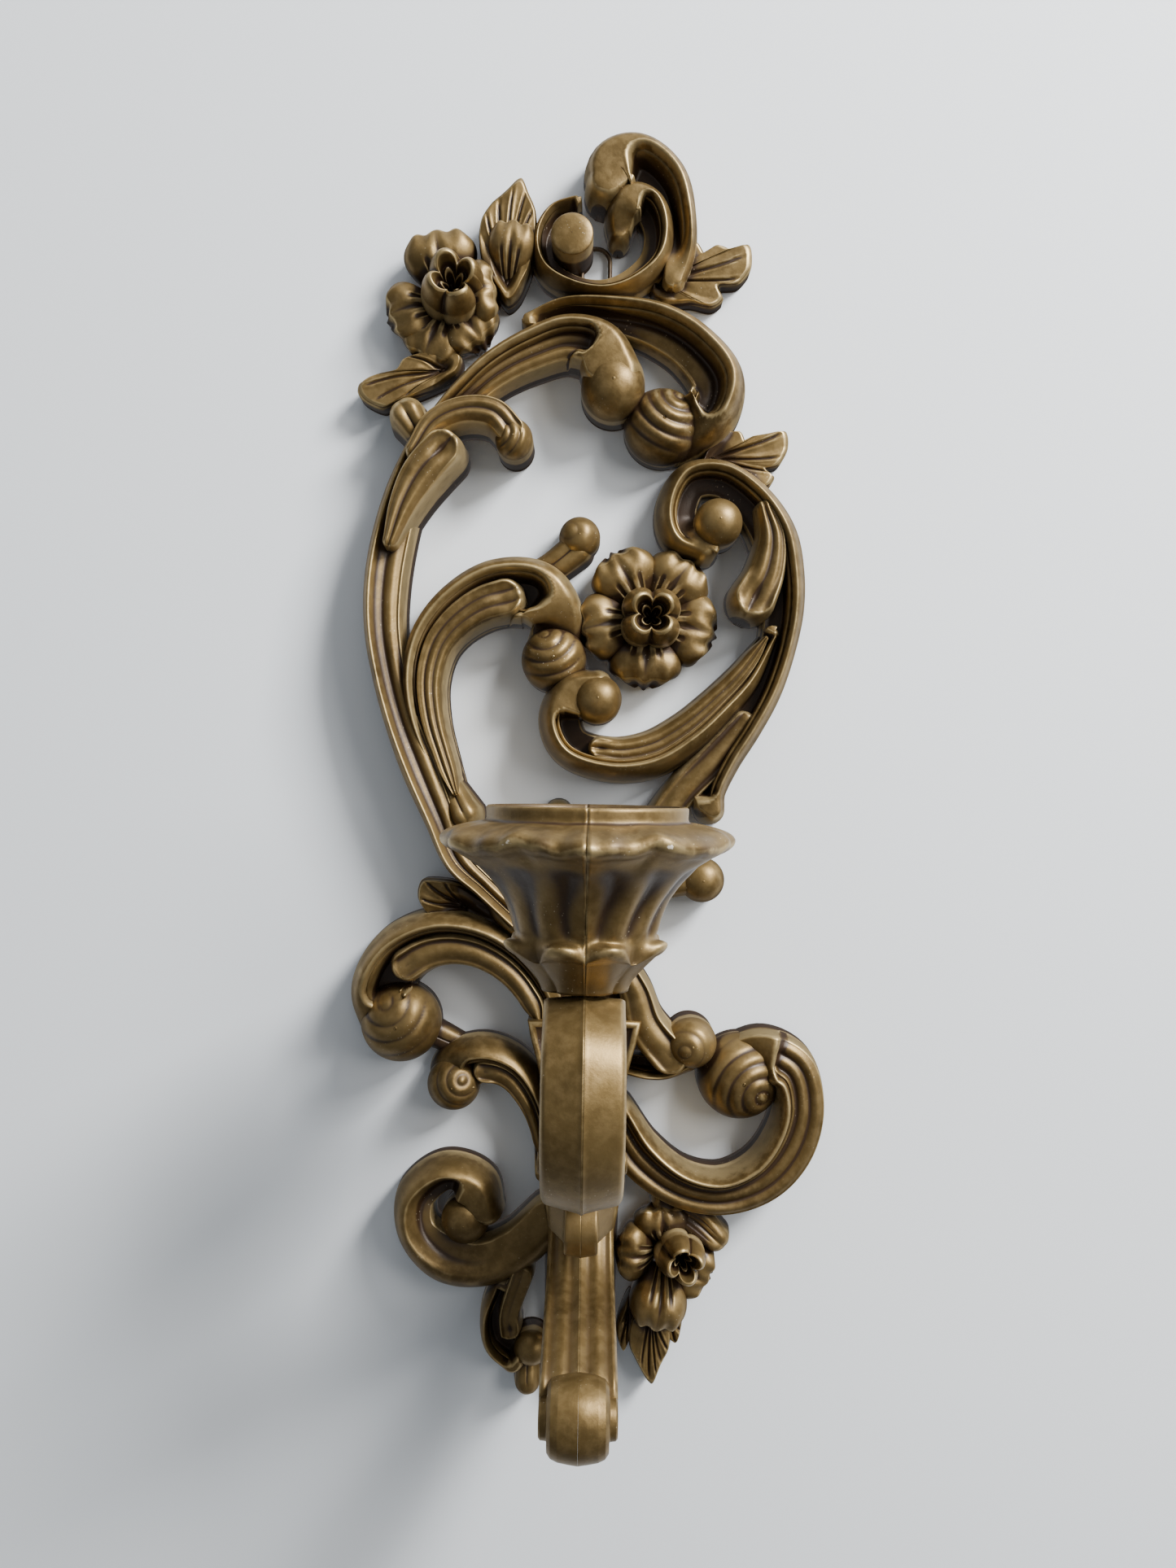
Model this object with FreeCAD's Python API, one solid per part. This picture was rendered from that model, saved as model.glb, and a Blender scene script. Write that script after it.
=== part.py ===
import FreeCAD, Part
import math
import os

# Rococo wall sconce with one candle cup.
# Frame: +Z up, front faces -Y, the wall is the plane Y = 0 and the arm lies in the plane X = 0.
# "Reach" below means distance out from the wall, so Y = -reach.  Millimetres throughout.

V = FreeCAD.Vector

# ---- driving dimensions ----
PATTERN_SCALE = 1.03        # the plate's relief is drawn as a pattern and cast this much larger
PATTERN_CENTRE_Z = 110.0    # height of the pattern's middle, which stays in place
PLATE_WALL = 2.5            # wall thickness of the hollow-backed moulding
MIN_POCKET = 1.5            # narrowest half-width worth hollowing
CHANNEL_DEPTH = 4.0         # depth of the groove carved along each scroll
CHANNEL_SHARE = 0.42        # groove half-width as a share of the scroll's half-width
DOME_FLAT = 0.3             # flat top of a rounded boss, as a share of its radius
ARM_WIDTH = 24.3
ARM_EYE_RADIUS = 6.5
ARM_EYE_RISE = 2.5
PAD_REACH = (10.0, 22.0)    # the arm's mounting pad, from the spine outward
CUP_REACH = 115.0           # cup axis, out from the wall
CUP_BASE_Z = 48.0
CUP_TOP_Z = 103.4
RING_RADIUS = 30.5
RING_WALL = 1.6
LIP_RADIUS = 44.0
CUP_WALL = 2.5
CANDLE_RADIUS = 11.25       # socket for a 22 mm candle
CANDLE_DEPTH = 24.0
LINER_WALL = 0.8
LINER_RIM_RADIUS = 27.5
LINER_SEAT_Z = 90.0
SCREW_RADIUS = 2.0
SCREW_HEAD_RADIUS = 3.8
SCREW_HEAD_HEIGHT = 2.6
HOLE_SLACK = 0.1
ARM_SCREW_HEIGHTS = (12.0, -46.0)
CUP_SCREW_Z = (34.0, 53.0)
HANGER_Z = 302.5            # pivot of the hanging wire
HANGER_REACH = 1.8
WIRE_RADIUS = 0.9
WIRE_CLEARANCE = 0.05
WIRE_HALF_SPAN = 5.5
WIRE_TOP_Z = HANGER_Z + 19.0
WIRE_BEND = 1.6
KNUCKLE_RADIUS = 1.6
KNUCKLE_HALF = 3.2
RECESS_DEPTH = 4.0
STRAP_THICK = 1.0
STRAP_HALF = 10.0
STRAP_Z = (HANGER_Z - 9.5, HANGER_Z - 3.0)
BOSS_HALF = 11.0            # block of the crest that carries the strap: half-width, reach and heights
BOSS_REACH = 13.7
BOSS_Z = (HANGER_Z - 10.3, HANGER_Z + 2.3)
TACK_X = 6.8
TACK_Z = HANGER_Z - 6.3
TACK_RADIUS = 1.0
TACK_HEAD = 2.2

# ---- scrolls of the back plate: name -> (reach, [(x, z, half-width), ...]) along the centre line ----
SCROLLS = {
    "crest_curl": (20, [(30.5, 300.5, 4), (34, 312.5, 5), (33.5, 325, 6.5), (27.5, 338.5, 9),
                        (15.5, 345, 11.5), (4.5, 340, 9)]),
    "crest_hook": (18, [(-8, 329, 2.5), (-16, 325, 4), (-20.5, 315, 4.5), (-18, 304.5, 5),
                        (-8, 298, 5), (4, 296.5, 5.5), (14, 300.5, 6), (22, 308.5, 6),
                        (24, 319, 6), (20.5, 328.5, 6), (13.5, 331.5, 6), (8.5, 327, 5)]),
    "arch_inner": (22, [(-65, 236, 3.5), (-57, 246.5, 5.5), (-46, 257, 7), (-35.5, 265.5, 8),
                        (-23.5, 272, 9), (-10, 276.5, 10), (3, 273, 10)]),
    "arch_outer": (22, [(-12, 288, 4), (8, 286, 7), (24.5, 282, 9), (37.5, 274, 10),
                        (45.5, 261.5, 10.5), (43.5, 248.5, 9)]),
    "right_scroll": (24, [(32, 213, 8.5), (37, 224.5, 8), (48, 225.5, 7.5), (60, 217, 8.5),
                          (68.5, 204, 9.5), (71.5, 190.5, 9.5), (72.5, 177, 8.5), (70.5, 162, 7.5),
                          (65.5, 146.5, 7.5), (58.5, 133, 7.5), (50.5, 120, 7.5), (45.5, 108, 7),
                          (46, 101, 6)]),
    "right_stem": (20, [(58, 134, 5), (46, 119, 7), (34, 106, 7), (22, 86, 8), (10, 62, 9)]),
    "lower_ring": (24, [(68, 167, 4.2), (58.5, 151, 7), (49, 140.5, 8), (37, 129.5, 9),
                        (23.5, 121.5, 9.5), (8, 119.5, 9), (-7, 124.5, 8), (-11, 134.5, 7),
                        (-8, 144.5, 6)]),
    "mid_scroll": (24, [(-48, 100, 4.5), (-55, 117, 6.5), (-60.5, 133.5, 8), (-62, 149, 9),
                        (-58.5, 163, 10), (-49, 174.5, 11.5), (-34.5, 182, 13), (-20, 179.5, 12)]),
    "left_stem": (24, [(-64.5, 237, 6), (-70.5, 219.5, 8), (-75, 202, 8.5), (-77.5, 184.5, 8.5),
                       (-77.5, 167, 8), (-74.5, 149, 7.5), (-69.5, 131.5, 7.5), (-62.5, 114, 8),
                       (-55, 96.5, 7), (-48, 80.5, 6), (-38, 71, 5), (-17, 52, 5)]),
    "left_hook": (23, [(-66, 232, 4), (-59, 242.5, 5.5), (-48, 247.5, 6), (-37, 246.5, 6.5),
                       (-30.5, 240, 6.5)]),
    "left_lip": (24, [(-74, 198, 3.5), (-69.5, 212, 6.5), (-63.5, 223.5, 8.5), (-55.5, 232.5, 8.5)]),
    "lower_left": (22, [(-12, 11.5, 5), (-16.5, 28.5, 8), (-26.5, 42, 9.5), (-40.5, 50, 10.5),
                        (-56, 51, 11.5), (-70, 44, 12), (-75.5, 30.5, 12)]),
    "second_left": (18, [(-14, -36.5, 4), (-14.5, -23, 5), (-18.5, -9, 7), (-27, 2, 8.5),
                         (-38.5, 5.5, 9.5), (-48.5, 0, 9)]),
    "bottom_left": (20, [(-12, -54, 9), (-23.5, -65.5, 10), (-37.5, -71, 10.5), (-51.5, -68.5, 11),
                         (-62, -59, 8.5), (-62.5, -47, 8), (-51.5, -38, 7.5), (-39, -42, 7)]),
    "small_bottom": (16, [(-29, -81, 6), (-33.5, -91, 4.5), (-32, -101, 5), (-25, -107, 5.5)]),
    "right_small": (20, [(13, 44, 5), (19, 33, 6.5), (23, 20.5, 8), (32, 9.5, 8.5)]),
    "lower_right": (22, [(12, -14, 8), (21.5, -29.5, 9.5), (36.5, -40, 9), (53, -42.5, 9),
                         (68, -36.5, 10), (77.5, -25, 10.5), (81.5, -10, 9.5), (77.5, 3, 9.5)]),
}

# ---- plain leaves, nubs and links, same layout, without a groove ----
LEAVES = {
    "crest_leaf": (9, [(20, 304, 6), (33.5, 309.5, 9), (46.5, 311, 9.5), (53, 311.5, 7.5)]),
    "crest_leaf_lobe": (9, [(26, 302, 4), (38.5, 302, 4.5), (45.5, 302, 4)]),
    "bud_leaf": (14, [(-31, 289, 7), (-33, 303, 9.5), (-34, 315, 11), (-33, 325, 9.5), (-29.5, 336, 3)]),
    "left_leaf": (11, [(-50, 268.5, 6), (-62.5, 268, 8.5), (-74, 264.5, 9), (-83, 261, 6)]),
    "right_lip": (22, [(63.5, 213, 3.5), (66.5, 202, 6), (65, 190, 8), (60.5, 180, 9.5)]),
    "right_leaf": (9, [(36, 234.5, 4), (52.5, 239.5, 6.5), (64.5, 240, 8), (70, 241, 6)]),
    "right_leaf_lobe": (9, [(52.5, 233.5, 4), (64, 230.5, 5)]),
    "flower_link_left": (8, [(6, 166, 6), (-10, 160, 5)]),
    "flower_link_up": (8, [(30, 188, 6), (34, 206, 6)]),
    "mid_nub": (13, [(-24, 191, 3), (-12, 194.5, 4.5), (-5, 202, 6)]),
    "left_stem_nub": (24, [(-63, 236, 5), (-69.5, 246.5, 8)]),
    "nub_left": (24, [(-51, 108, 5), (-45.5, 98, 7)]),
    "nub_mid": (12, [(-11, 80, 5.5), (-11, 99, 5.5)]),
    "nub_right": (16, [(14, 68, 5), (36.5, 73.5, 6)]),
    "flare_leaf": (14, [(-58, 67.5, 6), (-51, 67, 7), (-40, 61, 5.5), (-26, 50, 4)]),
    "teardrop": (22, [(-35, 66, 4.5), (-31.5, 61, 5), (-27, 56, 3)]),
    "second_left_link": (16, [(-50, 10, 6), (-60, 14, 8)]),
    "small_bottom_leaf": (14, [(-22, -75, 5), (-26.5, -90, 4.5), (-26, -95, 4.5)]),
    "small_bottom_nub": (12, [(-19.5, -106, 5), (-19.5, -117, 5.5)]),
    "right_small_outer": (18, [(14, 4, 4), (29.5, 3.5, 5), (38, 8, 7)]),
    "right_small_link": (16, [(46, 8, 6), (54, 6, 8)]),
    "lower_leaf": (10, [(27, -80, 6), (27, -102, 8.5), (27.5, -111, 6)]),
    "lower_leaf_right": (8, [(34, -84, 4), (35.5, -99.5, 4.5)]),
    "lower_leaf_left": (8, [(19, -80, 4), (16.5, -98, 5)]),
    "lower_curl": (14, [(32, -48, 6), (44, -55, 7.5), (51, -61, 6)]),
    "spine": (10, [(0, -106, 13), (0, -61.5, 14), (0, 0, 15), (0, 45, 16), (0, 78, 18)]),
}

# ---- rounded scroll ends: name -> (x, z, radius, reach) ----
BALLS = {
    "crest_ball": (7, 327, 5, 18),
    "crest_lobe": (4.5, 337.5, 9.5, 20),
    "crest_knob": (-9, 312.5, 7, 30),
    "arch_inner_ball": (7, 258, 12, 26),
    "arch_outer_ball": (25.5, 245, 14.5, 20),
    "right_ball": (47, 208, 9, 24),
    "right_curl_foot": (40, 201, 7.5, 20),
    "ring_ball": (3, 141.5, 8.5, 28),
    "mid_ball": (-13.5, 156.5, 12, 22),
    "mid_nub_end": (-3.8, 204.5, 6.6, 15),
    "hook_ball": (-29.5, 237.5, 7, 24),
    "nub_right_ball": (43.5, 74.5, 8.5, 18),
    "lower_left_ball": (-69, 19, 14.5, 22),
    "second_left_ball": (-49, -4, 9.5, 18),
    "bottom_left_ball": (-43.5, -54, 9, 22),
    "small_bottom_ball": (-18, -102, 6.5, 18),
    "right_small_ball": (40, 14, 9.5, 24),
    "lower_right_ball": (59, 1, 15.5, 22),
    "lower_right_bridge": (69, 7, 10.5, 21),
}

# ---- flowers: name -> (centre, cup centre, cup radius, reach, [(petal x, petal z, radius, reach), ...]) ----
FLOWERS = {
    "upper": ((-55, 290), (-53, 295), 12, 28,
              [(-59, 310, 10, 16), (-44, 293, 10, 18), (-70, 287, 9, 15), (-53, 277, 11, 14)]),
    "middle": ((21.5, 174), (22.5, 172.5), 11.5, 28,
               [(12, 190.5, 10.5, 16), (33, 189.5, 10.5, 15), (40, 168.5, 11, 15),
                (22, 154, 10.5, 15), (4.5, 169.5, 10.5, 16)]),
    "lower": ((33, -68), (37, -65), 8.5, 28,
              [(21, -68, 9, 15), (33, -53, 8.5, 14), (44, -73, 9.5, 14), (30, -82, 9.5, 20)]),
}

# ---- the moulding is kept as regions; an earlier region keeps the shared material ----
REGIONS = [
    ("plate_spine", ["spine", "nub_mid", "nub_right"], ["nub_right_ball"], None),
    ("crest_scrolls", ["crest_curl", "crest_hook", "crest_leaf", "crest_leaf_lobe"],
     ["crest_ball", "crest_lobe", "crest_knob"], None),
    ("flower_upper", ["bud_leaf", "left_leaf"], [], "upper"),
    ("arch_scrolls", ["arch_inner", "arch_outer"], ["arch_inner_ball", "arch_outer_ball"], None),
    ("flower_middle", ["flower_link_left", "flower_link_up"], [], "middle"),
    ("right_scroll", ["right_scroll", "right_lip", "right_stem", "right_leaf", "right_leaf_lobe"],
     ["right_ball", "right_curl_foot"], None),
    ("ring_scroll", ["lower_ring"], ["ring_ball"], None),
    ("middle_scroll", ["mid_scroll", "mid_nub"], ["mid_ball", "mid_nub_end"], None),
    ("left_stem", ["left_stem", "left_stem_nub", "left_hook", "left_lip", "nub_left", "flare_leaf",
                   "teardrop"], ["hook_ball"], None),
    ("lower_left_scroll", ["lower_left", "second_left", "second_left_link"],
     ["lower_left_ball", "second_left_ball"], None),
    ("bottom_scroll", ["bottom_left", "small_bottom", "small_bottom_leaf", "small_bottom_nub"],
     ["bottom_left_ball", "small_bottom_ball"], None),
    ("lower_right_scroll", ["lower_right", "right_small", "right_small_outer", "right_small_link"],
     ["lower_right_ball", "lower_right_bridge", "right_small_ball"], None),
    ("flower_lower", ["lower_leaf", "lower_leaf_right", "lower_leaf_left", "lower_curl"], [], "lower"),
]

# ---- arm in its own plane: (reach, z, half-thickness) along each stretch ----
ARM_UPPER = [(16, -22, 9), (45, -21, 9), (78, -14, 8), (105, -10.5, 8.5), (126, -3, 8.5),
             (135.5, 12, 8.5), (133, 29, 9), (123, 41, 9)]
ARM_TONGUE = [(16, -34, 9), (38, -37, 10), (54, -46, 9.5)]
ARM_LOWER = [(14, -58, 8), (34, -76, 8), (60, -85, 8.5), (82, -93, 9.5)]
ARM_BALL = (90, -95, 13)
ARM_NECK = (12.75, 32.0)    # round seat under the cup: radius, lowest Z
PAD_OUTLINE = [(21.5, 20), (15.5, -5), (15.5, -40), (12, -62)]

# ---- cup profile: (radius, z) up the outside ----
CUP_PROFILE = [(12.75, CUP_BASE_Z), (15, 54.5), (20.5, 57.5), (23.7, 61), (21.5, 63.5), (19.6, 65.5),
               (20.3, 70), (22.5, 76), (25.5, 81), (31, 85.5), (LIP_RADIUS - 4, 86), (LIP_RADIUS, 90),
               (LIP_RADIUS - 3.5, 94), (34, 96.5), (RING_RADIUS, 98.5)]


def cast(x, z, size):
    """Place and size in the casting of a feature of the pattern."""
    return x * PATTERN_SCALE, PATTERN_CENTRE_Z + (z - PATTERN_CENTRE_Z) * PATTERN_SCALE, size * PATTERN_SCALE


def fused(shapes):
    result = shapes[0]
    if len(shapes) > 1:
        result = shapes[0].fuse(shapes[1:])
    return result


def place(u, v, plane):
    """A point of the plate plane (x, z) or of the arm plane (reach, z)."""
    if plane == "plate":
        return V(u, 0, v)
    return V(0, -u, v)


def band_face(path, plane="plate", trim=0.0, share=1.0):
    """Face of a band of changing width that follows a smooth centre line, rounded at both ends."""
    points = [place(u, v, plane) for u, v, w in path]
    widths = [max(w * share - trim, 0.6) for u, v, w in path]
    line = Part.BSplineCurve()
    line.interpolate(points)
    left = []
    right = []
    across = V(0, 1, 0) if plane == "plate" else V(1, 0, 0)
    ends = []
    for point, width in zip(points, widths):
        tangent = line.tangent(line.parameter(point))[0]
        normal = tangent.cross(across)
        normal.normalize()
        left.append(point + normal * width)
        right.append(point - normal * width)
        ends.append(tangent)
    side_a = Part.BSplineCurve()
    side_a.interpolate(left)
    side_b = Part.BSplineCurve()
    side_b.interpolate(right[::-1])
    tip = points[-1] + ends[-1] * widths[-1]
    root = points[0] - ends[0] * widths[0]
    cap_tip = Part.Arc(left[-1], tip, right[-1])
    cap_root = Part.Arc(right[0], root, left[0])
    wire = Part.Wire([side_a.toShape(), cap_tip.toShape(), side_b.toShape(), cap_root.toShape()])
    return Part.Face(wire)


def band(path, reach, trim=0.0, share=1.0, start=0.0):
    """Prism of a band, standing out from the wall between two reaches."""
    face = band_face(path, "plate", trim, share)
    face.translate(V(0, -start, 0))
    return face.extrude(V(0, start - reach, 0))


def dome(x, z, radius, reach):
    """Round boss with a domed front."""
    flat = radius * DOME_FLAT
    round_off = min(radius - flat, reach * 0.6)
    shoulder = reach - round_off
    flat = radius - round_off
    bend = math.sqrt(0.5) * round_off
    middle = V(flat + bend, shoulder + bend, 0)
    outline = Part.Wire([
        Part.makeLine(V(0, 0, 0), V(radius, 0, 0)),
        Part.makeLine(V(radius, 0, 0), V(radius, shoulder, 0)),
        Part.Arc(V(radius, shoulder, 0), middle, V(flat, reach, 0)).toShape(),
        Part.makeLine(V(flat, reach, 0), V(0, reach, 0)),
        Part.makeLine(V(0, reach, 0), V(0, 0, 0)),
    ])
    shape = Part.Face(outline).revolve(V(0, 0, 0), V(0, 1, 0), 360)
    shape.rotate(V(0, 0, 0), V(0, 0, 1), 180)
    shape.translate(V(x, 0, z))
    return shape


def rod(start, end, radius):
    along = end - start
    return Part.makeCylinder(radius, along.Length, start, along)


def revolved(outline, x=0.0, reach=CUP_REACH):
    """Closed outline of (radius, z) points turned about an upright axis."""
    points = [V(r, 0, z) for r, z in outline]
    wire = Part.makePolygon(points + [points[0]])
    shape = Part.Face(wire).revolve(V(0, 0, 0), V(0, 0, 1), 360)
    shape.translate(V(x, -reach, 0))
    return shape


def block(x_range, reach_range, z_range):
    size = [x_range[1] - x_range[0], reach_range[1] - reach_range[0], z_range[1] - z_range[0]]
    return Part.makeBox(size[0], size[1], size[2], V(x_range[0], -reach_range[1], z_range[0]))


def flower_shapes(flower):
    centre, cup, cup_radius, reach, petals = FLOWERS[flower]
    shapes = [dome(*cast(x, z, radius), petal_reach) for x, z, radius, petal_reach in petals]
    cup_x, cup_z, radius = cast(cup[0], cup[1], cup_radius)
    shapes.append(dome(cup_x, cup_z, radius, reach))
    core_x, core_z, core_radius = cast(centre[0], centre[1], cup_radius * 1.2)
    shapes.append(rod(V(core_x, 0, core_z), V(core_x, -10, core_z), core_radius))
    well = rod(V(cup_x, -reach - 1, cup_z), V(cup_x, -reach * 0.6, cup_z), radius * 0.5)
    return shapes, well


def region_shapes(bands, balls, flower, extra=()):
    """Full solid of a region, its hollow back and the grooves on its front."""
    body = list(extra)
    pockets = []
    grooves = []
    for name in bands:
        reach, drawn = SCROLLS[name] if name in SCROLLS else LEAVES[name]
        path = [cast(*station) for station in drawn]
        body.append(band(path, reach))
        floor = PLATE_WALL
        if name in SCROLLS and len(path) > 4:
            floor = PLATE_WALL + CHANNEL_DEPTH
            inner = path[1:-1]
            grooves.append(band(inner, reach + 1, 0, CHANNEL_SHARE, reach - CHANNEL_DEPTH))
        wide = [p for p in path if p[2] - PLATE_WALL > MIN_POCKET]
        if len(wide) == len(path) and reach - floor > 3 and name != "spine":
            pockets.append(band(path, reach - floor, PLATE_WALL, 1.0, -1))
    for name in balls:
        x, z, radius, reach = BALLS[name]
        body.append(dome(*cast(x, z, radius), reach))
    if flower:
        shapes, well = flower_shapes(flower)
        body += shapes
        grooves.append(well)
    return fused(body), pockets, grooves


def touching(a, b):
    return a.BoundBox.intersect(b.BoundBox)


# ---- back plate regions ----
hanger_boss = block((-BOSS_HALF, BOSS_HALF), (0, BOSS_REACH), BOSS_Z)
recess_half = BOSS_HALF - 0.5
hanger_recess = block((-recess_half, recess_half), (-1, RECESS_DEPTH), (BOSS_Z[0] - 0.2, WIRE_TOP_Z + 4))
tack_holes = [rod(V(x, 1, TACK_Z), V(x, -12, TACK_Z), TACK_RADIUS + HOLE_SLACK) for x in (-TACK_X, TACK_X)]
arm_screw_holes = []
for height in ARM_SCREW_HEIGHTS:
    arm_screw_holes.append(rod(V(0, 1, height), V(0, -20.2, height), SCREW_RADIUS + HOLE_SLACK))
    arm_screw_holes.append(rod(V(0, 1, height), V(0, -3.6, height), SCREW_HEAD_RADIUS + HOLE_SLACK))

nodes = {}
taken = []
for region, bands, balls, flower in REGIONS:
    extra = [hanger_boss] if region == "crest_scrolls" else []
    full, pockets, grooves = region_shapes(bands, balls, flower, extra)
    if region == "crest_scrolls":
        pockets = [pocket.cut(hanger_boss) for pocket in pockets] + [hanger_recess] + tack_holes
    shape = full
    for cutter in pockets + grooves:
        shape = shape.cut(cutter)
    if region == "plate_spine":
        shape = shape.cut(arm_screw_holes)
    for other in taken:
        if touching(shape, other):
            shape = shape.cut(other)
    taken.append(full)
    nodes[region] = shape

# ---- arm: two mirrored half shells glued on the plane X = 0 ----
def arm_half(side):
    half = ARM_WIDTH / 2 * side
    stretches = [ARM_UPPER, ARM_TONGUE, ARM_LOWER]
    shapes = [band_face(path, "arm").extrude(V(half, 0, 0)) for path in stretches]
    reach, z, radius = ARM_BALL
    shapes.append(rod(V(0, -reach, z), V(half * 0.85, -reach, z), radius))
    shapes.append(rod(V(0, -reach, z), V(half * 0.85 + ARM_EYE_RISE * side, -reach, z), ARM_EYE_RADIUS))
    neck_radius, neck_z = ARM_NECK
    quadrant = Part.makeCylinder(neck_radius, CUP_BASE_Z - neck_z, V(0, -CUP_REACH, neck_z), V(0, 0, 1))
    half_space = block(sorted((0, 60 * side)), (0, 200), (-150, 150))
    shapes.append(quadrant.common(half_space))
    outline = [V(0, -PAD_REACH[0], PAD_OUTLINE[0][1])]
    outline += [V(x * side, -PAD_REACH[0], z) for x, z in PAD_OUTLINE]
    outline += [V(0, -PAD_REACH[0], PAD_OUTLINE[-1][1])]
    pad = Part.Face(Part.makePolygon(outline + [outline[0]]))
    shapes.append(pad.extrude(V(0, PAD_REACH[0] - PAD_REACH[1], 0)))
    result = fused(shapes)
    result = result.cut(block((-60, 60), (-20, PAD_REACH[0]), (-150, 150)))
    result = result.cut(block((-60, 60), (60, 160), (CUP_BASE_Z, 150)))
    cup_screw_hole = rod(V(0, -CUP_REACH, CUP_SCREW_Z[0]), V(0, -CUP_REACH, 60), SCREW_RADIUS + HOLE_SLACK)
    return result.cut(arm_screw_holes + [cup_screw_hole])


arms = {"arm_half_left": arm_half(-1), "arm_half_right": arm_half(1)}
for name, arm in arms.items():
    for region in [row[0] for row in REGIONS]:
        if touching(nodes[region], arm):
            nodes[region] = nodes[region].cut(arm)
    nodes[name] = arm

# ---- cup: turned shell split on the same plane ----
seat = [(RING_RADIUS, CUP_TOP_Z), (RING_RADIUS - RING_WALL, CUP_TOP_Z), (RING_RADIUS - RING_WALL, 98.0),
        (LINER_RIM_RADIUS + 0.4, 97.0), (LINER_RIM_RADIUS + 0.4, LINER_SEAT_Z)]
inside = [(24, LINER_SEAT_Z), (22, 84), (18.5, 76), (17, 70), (16.6, 60), (12, 53.2), (0, 53.2)]
cup = revolved([(0, CUP_BASE_Z)] + CUP_PROFILE + seat + inside)
cup = cup.cut(rod(V(0, -CUP_REACH, 40), V(0, -CUP_REACH, 60), SCREW_RADIUS + HOLE_SLACK))
for name, side in (("cup_half_left", -1), ("cup_half_right", 1)):
    nodes[name] = cup.common(block(sorted((0, 60 * side)), (40, 200), (0, 150)))

# ---- candle liner: dished metal pan with a tube for the candle ----
tube_top = LINER_SEAT_Z + LINER_WALL
tube_floor = tube_top - CANDLE_DEPTH
outer_radius = CANDLE_RADIUS + LINER_WALL
liner_outline = [
    (0, tube_floor - LINER_WALL),
    (outer_radius, tube_floor - LINER_WALL),
    (outer_radius, LINER_SEAT_Z),
    (LINER_RIM_RADIUS, LINER_SEAT_Z),
    (LINER_RIM_RADIUS, LINER_SEAT_Z + 6),
    (LINER_RIM_RADIUS - LINER_WALL, LINER_SEAT_Z + 6),
    (LINER_RIM_RADIUS - LINER_WALL, tube_top),
    (CANDLE_RADIUS, tube_top),
    (CANDLE_RADIUS, tube_floor),
    (0, tube_floor),
]
nodes["candle_liner"] = revolved(liner_outline)

# ---- screws ----
def screw(start, direction, length, radius=SCREW_RADIUS, head=SCREW_HEAD_RADIUS, height=SCREW_HEAD_HEIGHT):
    """Round-headed screw: head at the start, shank along the direction."""
    shank = Part.makeCylinder(radius, length, start, direction)
    top = Part.makeCylinder(head, height, start, direction)
    slot = Part.makeBox(head * 2, 0.8, 0.8, V(-head, -0.4, 0))
    slot.Placement = FreeCAD.Placement(start, FreeCAD.Rotation(V(0, 0, 1), direction)).multiply(slot.Placement)
    return fused([shank, top]).cut(slot)


nodes["cup_screw"] = screw(V(0, -CUP_REACH, CUP_SCREW_Z[1] + SCREW_HEAD_HEIGHT + 0.2), V(0, 0, -1), 20)
for name, height in (("arm_screw_upper", ARM_SCREW_HEIGHTS[0]), ("arm_screw_lower", ARM_SCREW_HEIGHTS[1])):
    nodes[name] = screw(V(0, -0.8, height), V(0, -1, 0), 18.5)

# ---- hanging wire, its strap and the strap's two screws ----
bail_path = [
    (-WIRE_HALF_SPAN + WIRE_BEND, HANGER_Z),
    (WIRE_HALF_SPAN - WIRE_BEND, HANGER_Z),
    (WIRE_HALF_SPAN, HANGER_Z + WIRE_BEND),
    (WIRE_HALF_SPAN, WIRE_TOP_Z - WIRE_HALF_SPAN),
    (-WIRE_HALF_SPAN, WIRE_TOP_Z - WIRE_HALF_SPAN),
    (-WIRE_HALF_SPAN, HANGER_Z + WIRE_BEND),
]
corner = WIRE_BEND * (1 - math.sqrt(0.5))
p = [V(x, -HANGER_REACH, z) for x, z in bail_path]
bend_right = V(WIRE_HALF_SPAN - corner, -HANGER_REACH, HANGER_Z + corner)
bend_left = V(-WIRE_HALF_SPAN + corner, -HANGER_REACH, HANGER_Z + corner)
crown = V(0, -HANGER_REACH, WIRE_TOP_Z)
spine_wire = Part.Wire([
    Part.makeLine(p[0], p[1]),
    Part.Arc(p[1], bend_right, p[2]).toShape(),
    Part.makeLine(p[2], p[3]),
    Part.Arc(p[3], crown, p[4]).toShape(),
    Part.makeLine(p[4], p[5]),
    Part.Arc(p[5], bend_left, p[0]).toShape(),
])
section = Part.Wire([Part.makeCircle(WIRE_RADIUS, p[0], V(1, 0, 0))])
nodes["hanger_wire"] = spine_wire.makePipeShell([section], True, False)

strap_reach = (RECESS_DEPTH - STRAP_THICK, RECESS_DEPTH)
strap = fused([
    block((-STRAP_HALF, STRAP_HALF), strap_reach, STRAP_Z),
    block((-KNUCKLE_HALF, KNUCKLE_HALF), strap_reach, (STRAP_Z[0], HANGER_Z)),
    block((-KNUCKLE_HALF, KNUCKLE_HALF), (HANGER_REACH, strap_reach[1]), (HANGER_Z - 1.4, HANGER_Z)),
    rod(V(-KNUCKLE_HALF, -HANGER_REACH, HANGER_Z), V(KNUCKLE_HALF, -HANGER_REACH, HANGER_Z), KNUCKLE_RADIUS),
])
axle_hole = rod(V(-6, -HANGER_REACH, HANGER_Z), V(6, -HANGER_REACH, HANGER_Z), WIRE_RADIUS + WIRE_CLEARANCE)
nodes["hanger_strap"] = strap.cut([axle_hole] + tack_holes)
for name, x in (("hanger_screw_left", -TACK_X), ("hanger_screw_right", TACK_X)):
    nodes[name] = screw(V(x, -1.1, TACK_Z), V(0, -1, 0), 10.5, TACK_RADIUS, TACK_HEAD, 1.8)

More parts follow.
